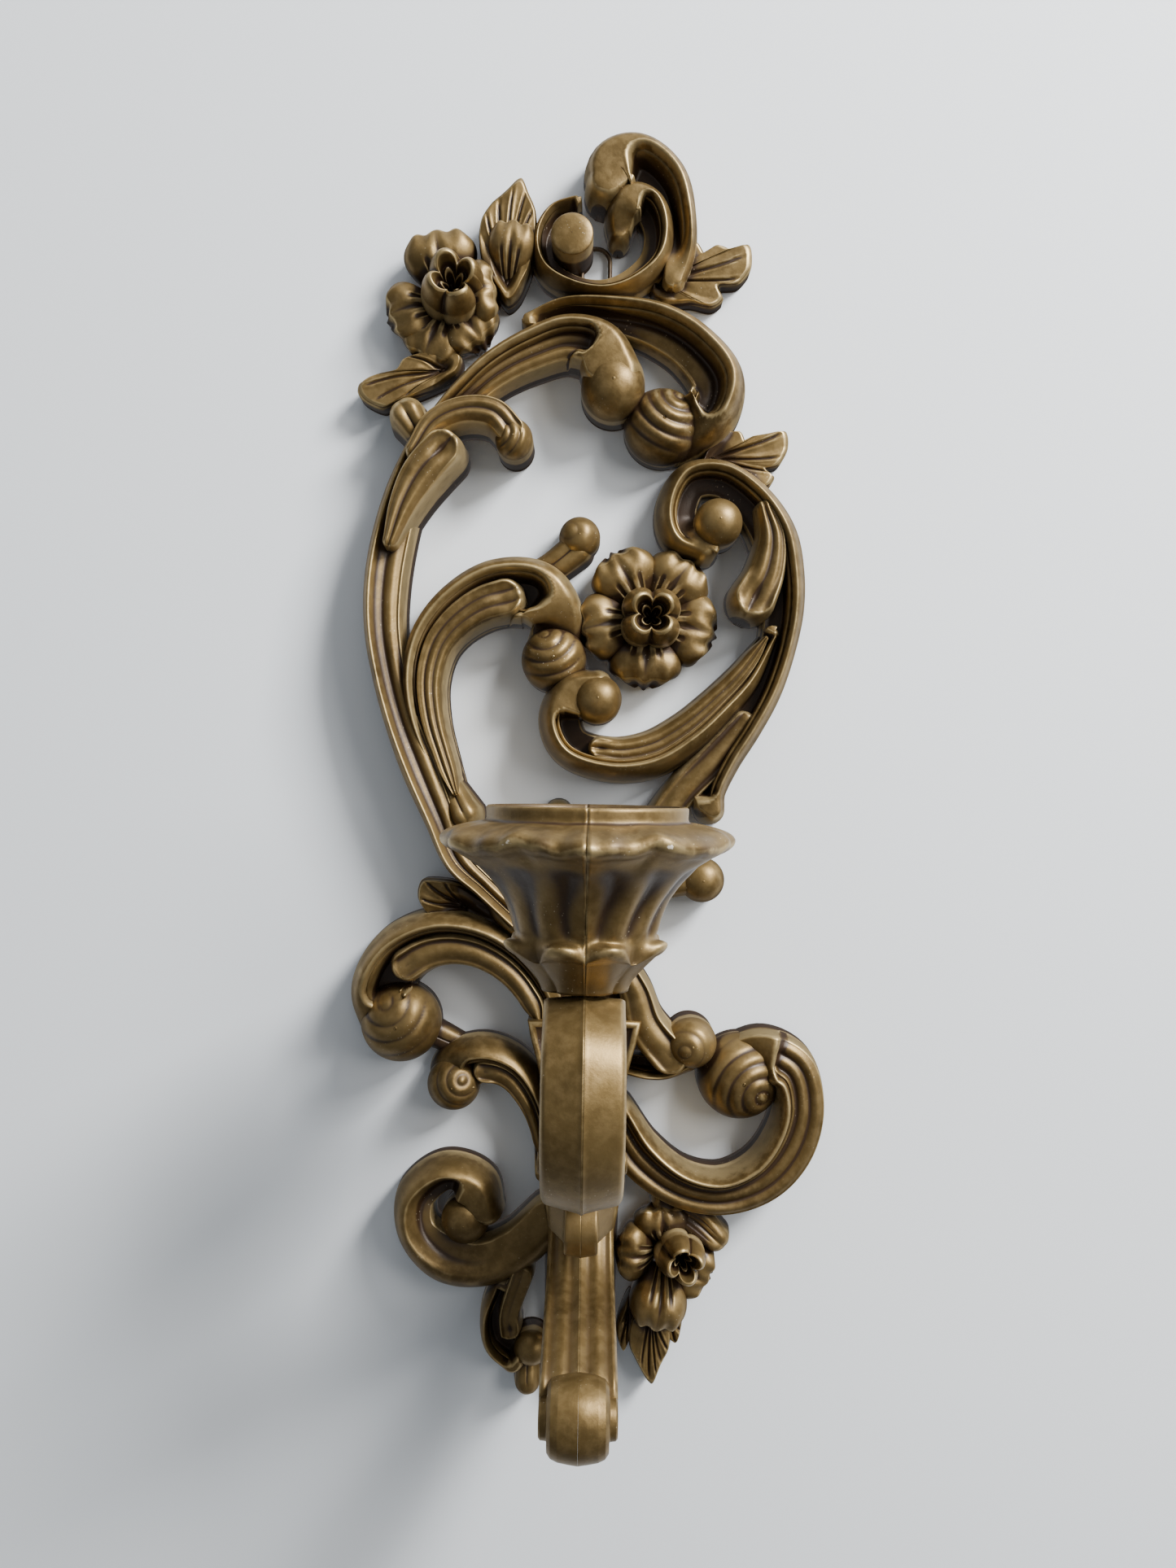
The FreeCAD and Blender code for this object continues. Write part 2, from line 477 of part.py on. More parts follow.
os.makedirs("parts", exist_ok=True)
for name, shape in nodes.items():
    shape.exportStep("parts/" + name + ".step")
    box = shape.BoundBox
    print(name, shape.isValid(), len(shape.Solids), round(shape.Volume / 1000, 2), "cm3",
          [round(v, 1) for v in (box.XMin, box.XMax, box.YMin, box.YMax, box.ZMin, box.ZMax)])
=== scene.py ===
import bpy
import math
import numpy as np
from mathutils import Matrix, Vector


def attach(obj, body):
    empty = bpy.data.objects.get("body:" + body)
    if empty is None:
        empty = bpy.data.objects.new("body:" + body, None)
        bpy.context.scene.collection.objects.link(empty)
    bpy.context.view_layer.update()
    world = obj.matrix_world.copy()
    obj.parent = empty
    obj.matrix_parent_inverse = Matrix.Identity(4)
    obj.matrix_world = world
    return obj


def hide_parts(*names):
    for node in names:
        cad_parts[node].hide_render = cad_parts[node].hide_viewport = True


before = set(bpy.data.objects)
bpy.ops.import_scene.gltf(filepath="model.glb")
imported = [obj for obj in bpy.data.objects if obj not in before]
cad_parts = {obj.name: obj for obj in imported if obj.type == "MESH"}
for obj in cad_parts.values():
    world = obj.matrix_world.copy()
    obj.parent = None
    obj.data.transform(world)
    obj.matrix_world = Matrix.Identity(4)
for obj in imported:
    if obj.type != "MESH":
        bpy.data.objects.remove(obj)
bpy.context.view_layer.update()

MM = 0.001
PATTERN_SCALE = 1.03        # the plate's relief is drawn smaller, and enlarged this much
PATTERN_CENTRE_Z = 110.0    # height of the drawing's middle, which stays in place
PLATE_NODES = ("plate_spine", "crest_scrolls", "flower_upper", "arch_scrolls", "flower_middle",
    "right_scroll", "ring_scroll", "middle_scroll", "left_stem", "lower_left_scroll", "bottom_scroll",
    "lower_right_scroll", "flower_lower")
SHELL = 2.4                 # wall thickness of the hollow-backed moulding
PLATE = []                  # the meshes of the back plate's relief

# ------------------------------------------------------------------ materials


def ramp(tree, value, stops):
    node = tree.nodes.new("ShaderNodeValToRGB")
    while len(node.color_ramp.elements) < len(stops):
        node.color_ramp.elements.new(0.5)
    for element, (place, colour) in zip(node.color_ramp.elements, stops):
        element.position = place
        element.color = (*colour, 1)
    tree.links.new(value, node.inputs["Fac"])
    return node.outputs["Color"]


def mix(tree, factor, a, b):
    node = tree.nodes.new("ShaderNodeMix")
    node.data_type = "RGBA"
    for socket, value in ((node.inputs["Factor"], factor), (node.inputs["A"], a), (node.inputs["B"], b)):
        if hasattr(value, "is_linked"):
            tree.links.new(value, socket)
        elif isinstance(value, tuple):
            socket.default_value = (*value, 1)
        else:
            socket.default_value = value
    return node.outputs["Result"]


def maths(tree, kind, a, b=0.0, clamp=False):
    node = tree.nodes.new("ShaderNodeMath")
    node.operation = kind
    node.use_clamp = clamp
    for socket, value in ((node.inputs[0], a), (node.inputs[1], b)):
        if hasattr(value, "is_linked"):
            tree.links.new(value, socket)
        else:
            socket.default_value = value
    return node.outputs["Value"]


def noise(tree, where, scale, detail=6.0, rough=0.55):
    node = tree.nodes.new("ShaderNodeTexNoise")
    node.inputs["Scale"].default_value = scale
    node.inputs["Detail"].default_value = detail
    node.inputs["Roughness"].default_value = rough
    tree.links.new(where, node.inputs["Vector"])
    return node.outputs["Fac"]


def band_pass(tree, value, low, high):
    node = tree.nodes.new("ShaderNodeMapRange")
    node.interpolation_type = "SMOOTHSTEP"
    node.inputs["From Min"].default_value = low
    node.inputs["From Max"].default_value = high
    tree.links.new(value, node.inputs["Value"])
    return node.outputs["Result"]


def attribute(tree, name):
    node = tree.nodes.new("ShaderNodeAttribute")
    node.attribute_name = name
    return node.outputs["Fac"]


def frayed(tree, weight, grain, amount):
    """The weight with its border broken up by the grain."""
    centred = maths(tree, "SUBTRACT", grain, 0.5)
    return maths(tree, "ADD", weight, maths(tree, "MULTIPLY", centred, amount))


def new_material(name):
    mat = bpy.data.materials.new(name)
    mat.use_nodes = True
    return mat, mat.node_tree, mat.node_tree.nodes["Principled BSDF"]


def bumped(tree, shader, height, strength, depth):
    bump = tree.nodes.new("ShaderNodeBump")
    bump.inputs["Strength"].default_value = strength
    bump.inputs["Distance"].default_value = depth
    tree.links.new(height, bump.inputs["Height"])
    tree.links.new(bump.outputs["Normal"], shader.inputs["Normal"])


def gilt_material():
    """Antique gold paint: brown gold body; umber glazing in concave places, darkened further as painted
    shade; pale rubbed wear on proud edges, lightened further as painted highlight; fine specks.
    """
    mat, tree, shader = new_material("antique_gold")
    where = tree.nodes.new("ShaderNodeTexCoord").outputs["Object"]
    glaze_and_shade = attribute(tree, "glaze_and_shade")
    edge = attribute(tree, "edge")
    chips = attribute(tree, "chips")
    broad = noise(tree, where, 28.0, 5.0)
    fine = noise(tree, where, 240.0, 6.0, 0.6)
    grain = noise(tree, where, 900.0, 3.0)
    body = ramp(tree, broad, [(0.3, (0.094, 0.060, 0.020)), (0.5, (0.150, 0.098, 0.034)),
        (0.7, (0.222, 0.150, 0.056))])
    streak = band_pass(tree, fine, 0.38, 0.66)
    body = mix(tree, maths(tree, "MULTIPLY", streak, 0.35), body, (0.29, 0.202, 0.086))
    # painted shade: this darkening is part real umber glazing, part painted shade of recesses and of low
    # sides
    glaze_and_shade_mask = band_pass(tree, frayed(tree, glaze_and_shade, fine, 0.5), 0.06, 0.78)
    body = mix(tree, glaze_and_shade_mask, body, (0.030, 0.0145, 0.0050))
    # painted highlight: proud edges are lightened, part rubbed wear, part painted highlight
    worn_and_highlit = band_pass(tree, frayed(tree, edge, fine, 0.9), 0.48, 1.05)
    body = mix(tree, maths(tree, "MULTIPLY", worn_and_highlit, 0.62), body, (0.46, 0.35, 0.17))
    bare = band_pass(tree, frayed(tree, chips, fine, 1.6), 1.0, 1.05)
    body = mix(tree, bare, body, (0.72, 0.66, 0.54))
    specks = tree.nodes.new("ShaderNodeTexVoronoi")
    specks.inputs["Scale"].default_value = 620.0
    tree.links.new(where, specks.inputs["Vector"])
    dots = maths(tree, "LESS_THAN", specks.outputs["Distance"], 0.13)
    few = band_pass(tree, noise(tree, where, 60.0, 3.0), 0.52, 0.66)
    dots = maths(tree, "MULTIPLY", dots, few)
    body = mix(tree, maths(tree, "MULTIPLY", dots, 0.55), body, (0.55, 0.47, 0.33))
    tree.links.new(body, shader.inputs["Base Color"])
    metal = maths(tree, "SUBTRACT", 0.72, maths(tree, "MULTIPLY", glaze_and_shade_mask, 0.5), True)
    metal = maths(tree, "SUBTRACT", metal, maths(tree, "MULTIPLY", bare, 0.6), True)
    tree.links.new(metal, shader.inputs["Metallic"])
    rough = maths(tree, "ADD", 0.36, maths(tree, "MULTIPLY", fine, 0.16))
    tree.links.new(rough, shader.inputs["Roughness"])
    height = maths(tree, "ADD", maths(tree, "MULTIPLY", grain, 0.35), fine)
    height = maths(tree, "SUBTRACT", height, maths(tree, "MULTIPLY", bare, 0.5))
    bumped(tree, shader, height, 0.35, 0.0003)
    return mat


def metal_material(name, colour, dark, roughness):
    """Plain metal with a slight cloud of tone and fine brushing."""
    mat, tree, shader = new_material(name)
    where = tree.nodes.new("ShaderNodeTexCoord").outputs["Object"]
    broad = noise(tree, where, 120.0, 5.0)
    fine = noise(tree, where, 1080.0, 4.0)
    tone = ramp(tree, broad, [(0.35, dark), (0.65, colour)])
    tree.links.new(tone, shader.inputs["Base Color"])
    shader.inputs["Metallic"].default_value = 0.9
    rough = maths(tree, "ADD", roughness, maths(tree, "MULTIPLY", broad, 0.2))
    tree.links.new(rough, shader.inputs["Roughness"])
    bumped(tree, shader, fine, 0.25, 0.0001)
    return mat


GILT = gilt_material()
LINER = metal_material("drawn_brass", (0.52, 0.40, 0.20), (0.30, 0.22, 0.11), 0.3)
STEEL = metal_material("screw_steel", (0.45, 0.43, 0.40), (0.24, 0.22, 0.20), 0.35)
BRONZE = metal_material("hanger_bronze", (0.17, 0.125, 0.08), (0.05, 0.035, 0.025), 0.4)

# ------------------------------------------------------------------ mesh helpers


def smooth(low, high, value):
    t = np.clip((value - low) / (high - low), 0.0, 1.0)
    return t * t * (3 - 2 * t)


def add_piece(name, points, faces, body, node, mat=GILT, fields=None):
    """Mesh from points in millimetres, riding on a body and standing for a CAD node."""
    mesh = bpy.data.meshes.new(name)
    mesh.from_pydata((np.asarray(points, float) * MM).tolist(), [], faces)
    mesh.validate()
    mesh.update()
    piece = bpy.data.objects.new(name, mesh)
    bpy.context.scene.collection.objects.link(piece)
    mesh.materials.append(mat)
    mesh.shade_smooth()
    for key in ("glaze_and_shade", "edge", "chips"):
        values = np.zeros(len(mesh.vertices), np.float32)
        if fields is not None and key in fields:
            values = np.clip(np.asarray(fields[key], np.float32), 0, 1.5)
        mesh.attributes.new(key, "FLOAT", "POINT").data.foreach_set("value", values)
    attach(piece, body)
    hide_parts(node)
    if node in PLATE_NODES:
        PLATE.append(mesh)
    return piece


def relief_glaze_shade_and_highlight():
    """Umber glazing plus painted shade where the relief lies below what surrounds it, rubbed wear plus
    painted highlight where it stands above.
    """
    cell = 0.8
    low = np.array([-110.0, -145.0])
    shape = (int(220 / cell), int(530 / cell))
    top = np.zeros(shape)

    def places(mesh):
        co = np.empty(len(mesh.vertices) * 3, np.float32)
        mesh.vertices.foreach_get("co", co)
        co = co.reshape(-1, 3) / MM
        return (co[:, [0, 2]] - low) / cell, -co[:, 1]

    for mesh in PLATE:
        at, height = places(mesh)
        index = at.astype(int)
        np.maximum.at(top, (index[:, 0], index[:, 1]), height)
    grown = np.max([np.roll(top, (i, j), (0, 1)) for i in (-1, 0, 1) for j in (-1, 0, 1)], axis=0)
    closed = np.min([np.roll(grown, (i, j), (0, 1)) for i in (-1, 0, 1) for j in (-1, 0, 1)], axis=0)

    def blurred(spread):
        reach = int(3 * spread / cell)
        kernel = np.exp(-0.5 * (np.arange(-reach, reach + 1) * cell / spread) ** 2)
        kernel /= kernel.sum()
        out = np.apply_along_axis(lambda line: np.convolve(line, kernel, "same"), 0, closed)
        return np.apply_along_axis(lambda line: np.convolve(line, kernel, "same"), 1, out)

    wide, near = blurred(6.0), blurred(2.0)

    def sampled(grid, at):
        whole = np.floor(at).astype(int)
        part = at - whole
        i, j = whole[:, 0], whole[:, 1]
        fx, fz = part[:, 0], part[:, 1]
        return (grid[i, j] * (1 - fx) * (1 - fz) + grid[i + 1, j] * fx * (1 - fz)
            + grid[i, j + 1] * (1 - fx) * fz + grid[i + 1, j + 1] * fx * fz)

    for mesh in PLATE:
        at, height = places(mesh)
        normals = np.empty(len(mesh.vertices) * 3, np.float32)
        mesh.vertex_normals.foreach_get("vector", normals)
        faces_out = smooth(0.2, 0.55, -normals[1::3])
        # painted shade: sunk and creased places darken, part glazing, part painted shade of recesses and of
        # low sides near the wall
        sunk = np.clip((sampled(wide, at) - height) / 8.0, 0, 1)
        creased = np.clip((sampled(near, at) - height) / 3.0, 0, 1)
        # painted highlight: only proud places facing out into the room lighten, part rubbed wear, part
        # painted highlight
        proud = np.clip((height - sampled(near, at)) / 2.0 - 0.1, 0, 1) * faces_out
        for key, extra in (("glaze_and_shade", 1.3 * sunk + 0.6 * creased), ("edge", 0.5 * proud)):
            values = np.empty(len(mesh.vertices), np.float32)
            data = mesh.attributes[key].data
            data.foreach_get("value", values)
            data.foreach_set("value", np.clip(values + extra, 0, 1.5).astype(np.float32))


def grid_quads(rows, cols, start=0, flip=False, wrap=False):
    """Quads of a grid of points stored row by row."""
    faces = []
    last = cols if wrap else cols - 1
    for r in range(rows - 1):
        for c in range(last):
            d = (c + 1) % cols
            here, above = start + r * cols, start + (r + 1) * cols
            quad = (here + c, here + d, above + d, above + c)
            faces.append(quad[::-1] if flip else quad)
    return faces


def slab_faces(rows, cols):
    """Closed skin of two grids, front first, back second, joined all round their border."""
    size = rows * cols
    faces = grid_quads(rows, cols) + grid_quads(rows, cols, size, True)
    ring = list(range(cols))
    ring += [r * cols + cols - 1 for r in range(1, rows)]
    ring += [(rows - 1) * cols + c for c in range(cols - 2, -1, -1)]
    ring += [r * cols for r in range(rows - 2, 0, -1)]
    for i, a in enumerate(ring):
        b = ring[(i + 1) % len(ring)]
        faces.append((a, a + size, b + size, b))
    return faces


def relief_fields(height, dark):
    """Weights of a height grid from its curvature at two scales: glazing plus painted shade in concave
    places, rubbed wear plus painted highlight on convex ones.
    """
    def blur(a, n):
        for _ in range(n):
            b = np.pad(a, 1, mode="edge")
            a = (b[1:-1, 1:-1] * 2 + b[:-2, 1:-1] + b[2:, 1:-1] + b[1:-1, :-2] + b[1:-1, 2:]) / 6
        return a
    near = height - blur(height, 3)
    far = height - blur(height, 14)
    # painted shade: concave places darken, part glazing, part painted shade; convex places lighten, part
    # rubbed wear, part painted highlight
    glaze_and_shade = np.clip(-near * 3.0, 0, 1) * 0.6 + np.clip(-far * 0.55, 0, 1) * 0.8 + dark
    edge = np.clip(near * 5.0 - 0.15, 0, 1)
    return glaze_and_shade, edge


def add_slab(name, node, front, back, glaze_and_shade, edge, shade):
    """Piece between a front grid and a back grid, whose back has one even shade."""
    points = np.concatenate([front.reshape(-1, 3), back.reshape(-1, 3)])
    pad = np.full(glaze_and_shade.size, shade)
    fields = {"glaze_and_shade": np.append(glaze_and_shade.ravel(), pad), "edge": np.append(edge.ravel(), pad * 0)}
    add_piece(name, points, slab_faces(*glaze_and_shade.shape), "sconce", node, fields=fields)


def add_boss(name, node, x, z, height, base, centre, glaze_and_shade, edge, shade, faces=None, tip=0):
    """Piece of rings about a centre, closed by a point in front, of the given shade, and one behind."""
    front = np.stack([x, -(base + height), z], axis=-1).reshape(-1, 3)
    ends = [[centre[0], -(base + height[tip].mean()), centre[1]], [centre[0], -base, centre[1]]]
    fields = {"glaze_and_shade": np.append(glaze_and_shade.ravel(), [shade, 0.3]), "edge": np.append(edge.ravel(), [0, 0])}
    faces = faces or boss_faces(*height.shape)
    add_piece(name, np.vstack([front, ends]), faces, "sconce", node, fields=fields)


def cast(x, z, size):
    """Place and size on the plate of a feature as drawn."""
    return x * PATTERN_SCALE, PATTERN_CENTRE_Z + (z - PATTERN_CENTRE_Z) * PATTERN_SCALE, size * PATTERN_SCALE


def curve_through(stations, step=1.0):
    """Dense smooth stations through the given ones, evenly spaced along the line."""
    pts = np.asarray(stations, float)
    if len(pts) == 2:
        pts = np.array([pts[0], (pts[0] + pts[1]) / 2, pts[1]])
    ext = np.vstack([2 * pts[0] - pts[1], pts, 2 * pts[-1] - pts[-2]])
    dense = []
    for i in range(1, len(ext) - 2):
        p0, p1, p2, p3 = ext[i - 1], ext[i], ext[i + 1], ext[i + 2]
        knots = [0.0]
        for a, b in ((p0, p1), (p1, p2), (p2, p3)):
            knots.append(knots[-1] + max(np.hypot(*(b - a)[:2]), 1e-6) ** 0.5)
        t0, t1, t2, t3 = knots
        for t in np.linspace(t1, t2, 24, endpoint=False):
            a1 = (t1 - t) / (t1 - t0) * p0 + (t - t0) / (t1 - t0) * p1
            a2 = (t2 - t) / (t2 - t1) * p1 + (t - t1) / (t2 - t1) * p2
            a3 = (t3 - t) / (t3 - t2) * p2 + (t - t2) / (t3 - t2) * p3
            b1 = (t2 - t) / (t2 - t0) * a1 + (t - t0) / (t2 - t0) * a2
            b2 = (t3 - t) / (t3 - t1) * a2 + (t - t1) / (t3 - t1) * a3
            dense.append((t2 - t) / (t2 - t1) * b1 + (t - t1) / (t2 - t1) * b2)
    dense.append(pts[-1])
    dense = np.array(dense)
    run = np.concatenate([[0], np.cumsum(np.hypot(*np.diff(dense[:, :2], axis=0).T))])
    count = max(int(run[-1] / step), 8)
    at = np.linspace(0, run[-1], count + 1)
    return np.column_stack([np.interp(at, run, dense[:, k]) for k in range(dense.shape[1])]), at


def tangents(line):
    """Unit directions along a line of stations."""
    along = np.gradient(line[:, :2], axis=0)
    return along / np.linalg.norm(along, axis=1)[:, None]


def strip_grid(stations, cols=41, step=1.0):
    """Grid of plan positions over a band with round ends.
    Returns x, z, v (mm across, + to the left), w (local half-width), e (mm before the end),
    s (mm after the start) and rho (0 on the centre line, 1 on the outline)."""
    line, run = curve_through([cast(*station) for station in stations], step)
    tangent = tangents(line)
    rows = []
    w0, w1 = line[0, 2], line[-1, 2]
    for a in np.linspace(0.985, 0.12, 7):
        rows.append((*(line[0, :2] - tangent[0] * w0 * a), w0, *tangent[0], -w0 * a, a))
    for station, direction, at in zip(line, tangent, run):
        rows.append((*station, *direction, at, 0.0))
    for a in np.linspace(0.12, 0.985, 9):
        rows.append((*(line[-1, :2] + tangent[-1] * w1 * a), w1, *tangent[-1], run[-1] + w1 * a, a))
    px, pz, w, tx, tz, s, cap = np.array(rows).T[:, :, None]
    t = np.linspace(-1, 1, cols)
    u = np.sign(t) * (1 - (1 - np.abs(t)) ** 1.25)
    width = w * np.sqrt(np.clip(1 - cap ** 2, 0.0008, 1))
    v = width * u
    x = px - tz * v
    z = pz + tx * v
    rho = np.sqrt(np.clip((v / w) ** 2 + cap ** 2, 0, 1))
    rho = np.where(np.abs(u) > 0.999, 1.0, rho)
    ones = np.ones_like(v)
    return x, z, v, w * ones, (run[-1] - s) * ones, s * ones, rho


def with_sides(grid, shares):
    """The grid with extra lines just inside its border, at the given shares of the way to the next line."""
    for _ in range(2):
        extra = [grid[:1] + (grid[1:2] - grid[:1]) * k for k in shares]
        after = [grid[-1:] + (grid[-2:-1] - grid[-1:]) * k for k in shares[::-1]]
        grid = np.concatenate([grid[:1], *extra, grid[1:-1], *after, grid[-1:]]).T
    return grid


def slab_from_height(name, node, x, z, height, dark, base=0.0):
    """Hollow-backed moulding: a height grid over plan positions, with a thinner inner skin behind it."""
    height[:, 0] = height[:, -1] = 0
    height[0] = height[-1] = 0
    glaze_and_shade, edge = relief_fields(height, dark)
    x, z, height = with_sides(x, (0.3, 0.8)), with_sides(z, (0.3, 0.8)), with_sides(height, (0.45, 0.86))
    glaze_and_shade, edge = with_sides(glaze_and_shade, (0.5, 0.8)), with_sides(edge, (0.0, 0.0))
    front = np.stack([x, -(base + height), z], axis=-1)
    middle = x.shape[1] // 2
    cx, cz = x[:, [middle]], z[:, [middle]]
    reach = np.hypot(x - cx, z - cz)
    shrink = np.clip((reach - SHELL) / np.maximum(reach, 1e-6), 0, 1)
    bx = cx + (x - cx) * shrink
    bz = cz + (z - cz) * shrink
    inner = np.clip(np.minimum.reduce([np.roll(height, k, 1) for k in (-1, 0, 1)]) - SHELL, 0, None)
    inner[:, 0] = inner[:, -1] = 0
    inner[0] = inner[-1] = 0
    back = np.stack([bx, -(base + inner * 0.97), bz], axis=-1)
    add_slab(name, node, front, back, glaze_and_shade, edge, 0.08)


def ridged(phase):
    """Soft ridges between 0 and 1 with narrow valleys."""
    return (0.5 + 0.5 * np.cos(2 * math.pi * phase)) ** 0.6


def scroll(name, node, stations, reach, side, rim, stop, floor=0.4, flutes=1, flute=0.3, tail=0.0,
        close=2.0, base=0.0, leaf=None, soft=2.2, sink=0.0):
    """C-scroll: a convex outer band up to a crisp rim, a channel inside it that closes at the end, darkened
    by umber glazing and painted shade.
    leaf lays a fluted leaf in it: shares of the run where it starts and ends, of the half-width, of the
    offset and of the height, and the number of its flutes."""
    inner_wall = 0.16
    x, z, v, w, e, s, rho = strip_grid(stations)
    total = (e + s).max()
    outer = v * side
    rise = 0.75 + 0.25 * smooth(0, total * 0.4, s)
    rise = rise * (1 - sink * smooth(1.6 * w, 0, e))
    top = reach * rise
    share = np.where(outer > 0, rim, 1 - inner_wall)
    cap_side = smooth(0.3 * w, -0.3 * w, e)
    share = share * (1 - cap_side) + rim * cap_side
    fall = np.clip((rho - share) / (1 - share), 0, 1)
    dome = np.sqrt(np.clip(1 - fall ** 2, 0, 1))
    height = top * (dome * 0.94 + 0.06 * (1 - rho ** 2))
    corner = 0.55 * w
    d1 = outer - rim * w * 0.92
    d2 = stop * w - e
    inner_rim = close + 1.2 * smooth(stop * w + 0.6 * w, stop * w + 2.4 * w, e)
    d3 = -outer - inner_rim * w
    far = np.maximum(d1, d3)
    a = far + corner
    b = d2 + corner
    dist = np.minimum(np.maximum(a, b), 0) + np.hypot(np.maximum(a, 0), np.maximum(b, 0)) - corner
    opening = smooth(0.0, max(tail, 1e-3), s)
    inside = smooth(0.35, -soft, dist) * opening
    waves = ridged(flutes * (outer / w + 1) * 0.5 + 0.1) * flute
    inward = np.clip(1 - np.abs(outer + w) / (0.16 * w), 0, 1)
    bed = top * floor + waves - inward * 1.0
    bed = np.minimum(bed, top * 0.96)
    fade = np.sqrt(np.clip((1 - rho) / inner_wall, 0, 1))
    bed = bed * np.where(outer < 0, fade, 1)
    height = height * (1 - inside) + np.minimum(bed, height) * inside
    height = height + 0.3 * np.exp(-((dist - 0.45) / 0.5) ** 2) * opening * np.clip(4 * (1 - rho), 0, 1)
    # painted shade: the channel darkens most next to its rim, part umber glazing, part painted shade of the
    # recess
    dark = inside * (0.10 + 0.55 * np.exp(dist / 2.4)) * smooth(0, 0.1 * total, s)
    slab_from_height(name, node, x, z, height, dark, base)
    if leaf is not None:
        start, end, half, offset, lift, count = leaf
        line, run = curve_through(stations, 1.0)
        tangent = tangents(line)
        keep = (run >= start * run[-1]) & (run <= end * run[-1])
        line, tangent = line[keep], tangent[keep]
        push = offset * line[:, 2] * side
        inner = np.column_stack([line[:, 0] - tangent[:, 1] * push, line[:, 1] + tangent[:, 0] * push,
            line[:, 2] * half])
        picked = inner[np.linspace(0, len(inner) - 1, 12).astype(int)]
        picked[0, 2] *= 0.5
        ribbon(name + "_leaf", node, picked, reach * lift, side, count, base)


def ribbon(name, node, stations, reach, side, flutes=3, base=0.0, amp=0.9, curl=1.2):
    """Fluted strip with a raised outer ridge and a lifted, rounded lip at its end."""
    round_side = 0.35
    x, z, v, w, e, _, rho = strip_grid(stations, cols=37)
    outer = v * side
    body = np.sqrt(np.clip(1 - np.clip((rho - (1 - round_side)) / round_side, 0, 1) ** 2, 0, 1))
    height = reach * (0.9 * body + 0.1 * (1 - rho ** 2))
    height += amp * (ridged(flutes * (outer / w + 1) * 0.5) - 0.5) * np.clip(5 * (1 - rho), 0, 1)
    height += 1.4 * np.exp(-((outer / w - 0.72) / 0.13) ** 2) * np.clip(6 * (1 - rho), 0, 1)
    lip = np.exp(-((rho - 0.75) / 0.16) ** 2) * smooth(1.5 * w, 0, e)
    height += curl * lip - curl * 0.8 * smooth(0.8 * w, 0, e) * np.clip(1 - rho * 1.8, 0, 1)
    height = np.clip(height, 0, None)
    # painted shade: flute valleys and the inner side darken, part glazing, part painted shade
    valley = 1 - ridged(flutes * (outer / w + 1) * 0.5)
    dark = 0.25 * valley + 0.5 * np.clip((-outer / w - 0.75) * 4, 0, 1)
    slab_from_height(name, node, x, z, height, dark, base + 0.15)


def boss_faces(rows, cols):
    """Faces of rings stored from the middle outwards, closed by a point in front and one behind."""
    faces = grid_quads(rows, cols, 0, True, wrap=True)
    apex = rows * cols
    for c in range(cols):
        d = (c + 1) % cols
        faces.append((apex, d, c))
        faces.append(((rows - 1) * cols + c, (rows - 1) * cols + d, apex + 1))
    return faces


def knob(name, node, x0, z0, radius, reach, rings=0, centre=(0.0, 0.0), ring_depth=0.7,
        squash=(1.0, 1.0), crown=None, side_shade=0.0):
    """Round scroll end: a domed boss, with concentric ridges about a point of its own if asked."""
    rows, cols, base = 44, 72, 0.1
    x0, z0, radius = cast(x0, z0, radius)
    rho = np.sin(np.linspace(0.015, 1, rows) * math.pi / 2)[:, None] * np.ones((1, cols))
    ang = np.linspace(0, 2 * math.pi, cols, endpoint=False)[None, :] * np.ones((rows, 1))
    x = x0 + radius * rho * np.cos(ang) * squash[0]
    z = z0 + radius * rho * np.sin(ang) * squash[1]
    if crown is None:
        crown = min(radius, reach)
    height = (reach - crown) + crown * np.sqrt(np.clip(1 - rho ** 2, 0, 1))
    # painted shade: the boss's low sides darken as if turned away from the light
    dark = side_shade * smooth(0.93, 0.80, height / reach)
    if rings:
        off = np.hypot(x - x0 - centre[0] * radius, z - z0 - centre[1] * radius) / radius
        wave = ridged(rings * off)
        height = height + ring_depth * (wave - 0.6) * np.clip(3 * (1 - rho), 0, 1)
        # painted shade: ring valleys darken, part glazing, part painted shade
        dark = 0.35 * (1 - wave)
    sides = np.array([0.92, 0.7, 0.45, 0.2, 0.0])[:, None] * (reach - crown) + 0 * height[:5]
    height[-1] = reach - crown
    x, z = np.vstack([x, x[[-1] * 5]]), np.vstack([z, z[[-1] * 5]])
    # painted shade on the added side walls
    dark = np.vstack([dark, 0 * sides + max(side_shade, 0.25)])
    height = np.vstack([height, sides])
    add_boss(name, node, x, z, height, base, (x0, z0), *relief_fields(height, dark), 0)


def leaf_blade(name, node, stations, reach, veins=3, cup=0.0):
    """Blade with a middle groove and veins that run to the tip."""
    x, z, v, w, e, s, rho = strip_grid(stations, cols=45, step=0.8)
    total = (e + s).max()
    height = reach * (0.80 + 0.20 * smooth(0, total, s)) * np.sqrt(np.clip(1 - rho ** 3.2, 0, 1))
    height -= cup * (1 - np.abs(v / w)) ** 1.5
    grooves = np.zeros_like(height)
    for k in range(-veins, veins + 1):
        grooves += np.exp(-((v / w - 0.27 * k) / 0.045) ** 2) * (1.0 if k == 0 else 0.7)
    fade = smooth(0.02 * total, 0.15 * total, s) * smooth(total, total * 0.82, s)
    height -= 0.55 * grooves * fade
    height = np.clip(height, 0, None)
    edge_zone = np.clip(6 * (1 - rho), 0, 1)
    height = height * np.where(edge_zone < 1, edge_zone ** 0.35, 1)
    # painted shade: the grooves darken, part glazing, part painted shade
    slab_from_height(name, node, x, z, height, 0.45 * grooves * fade)


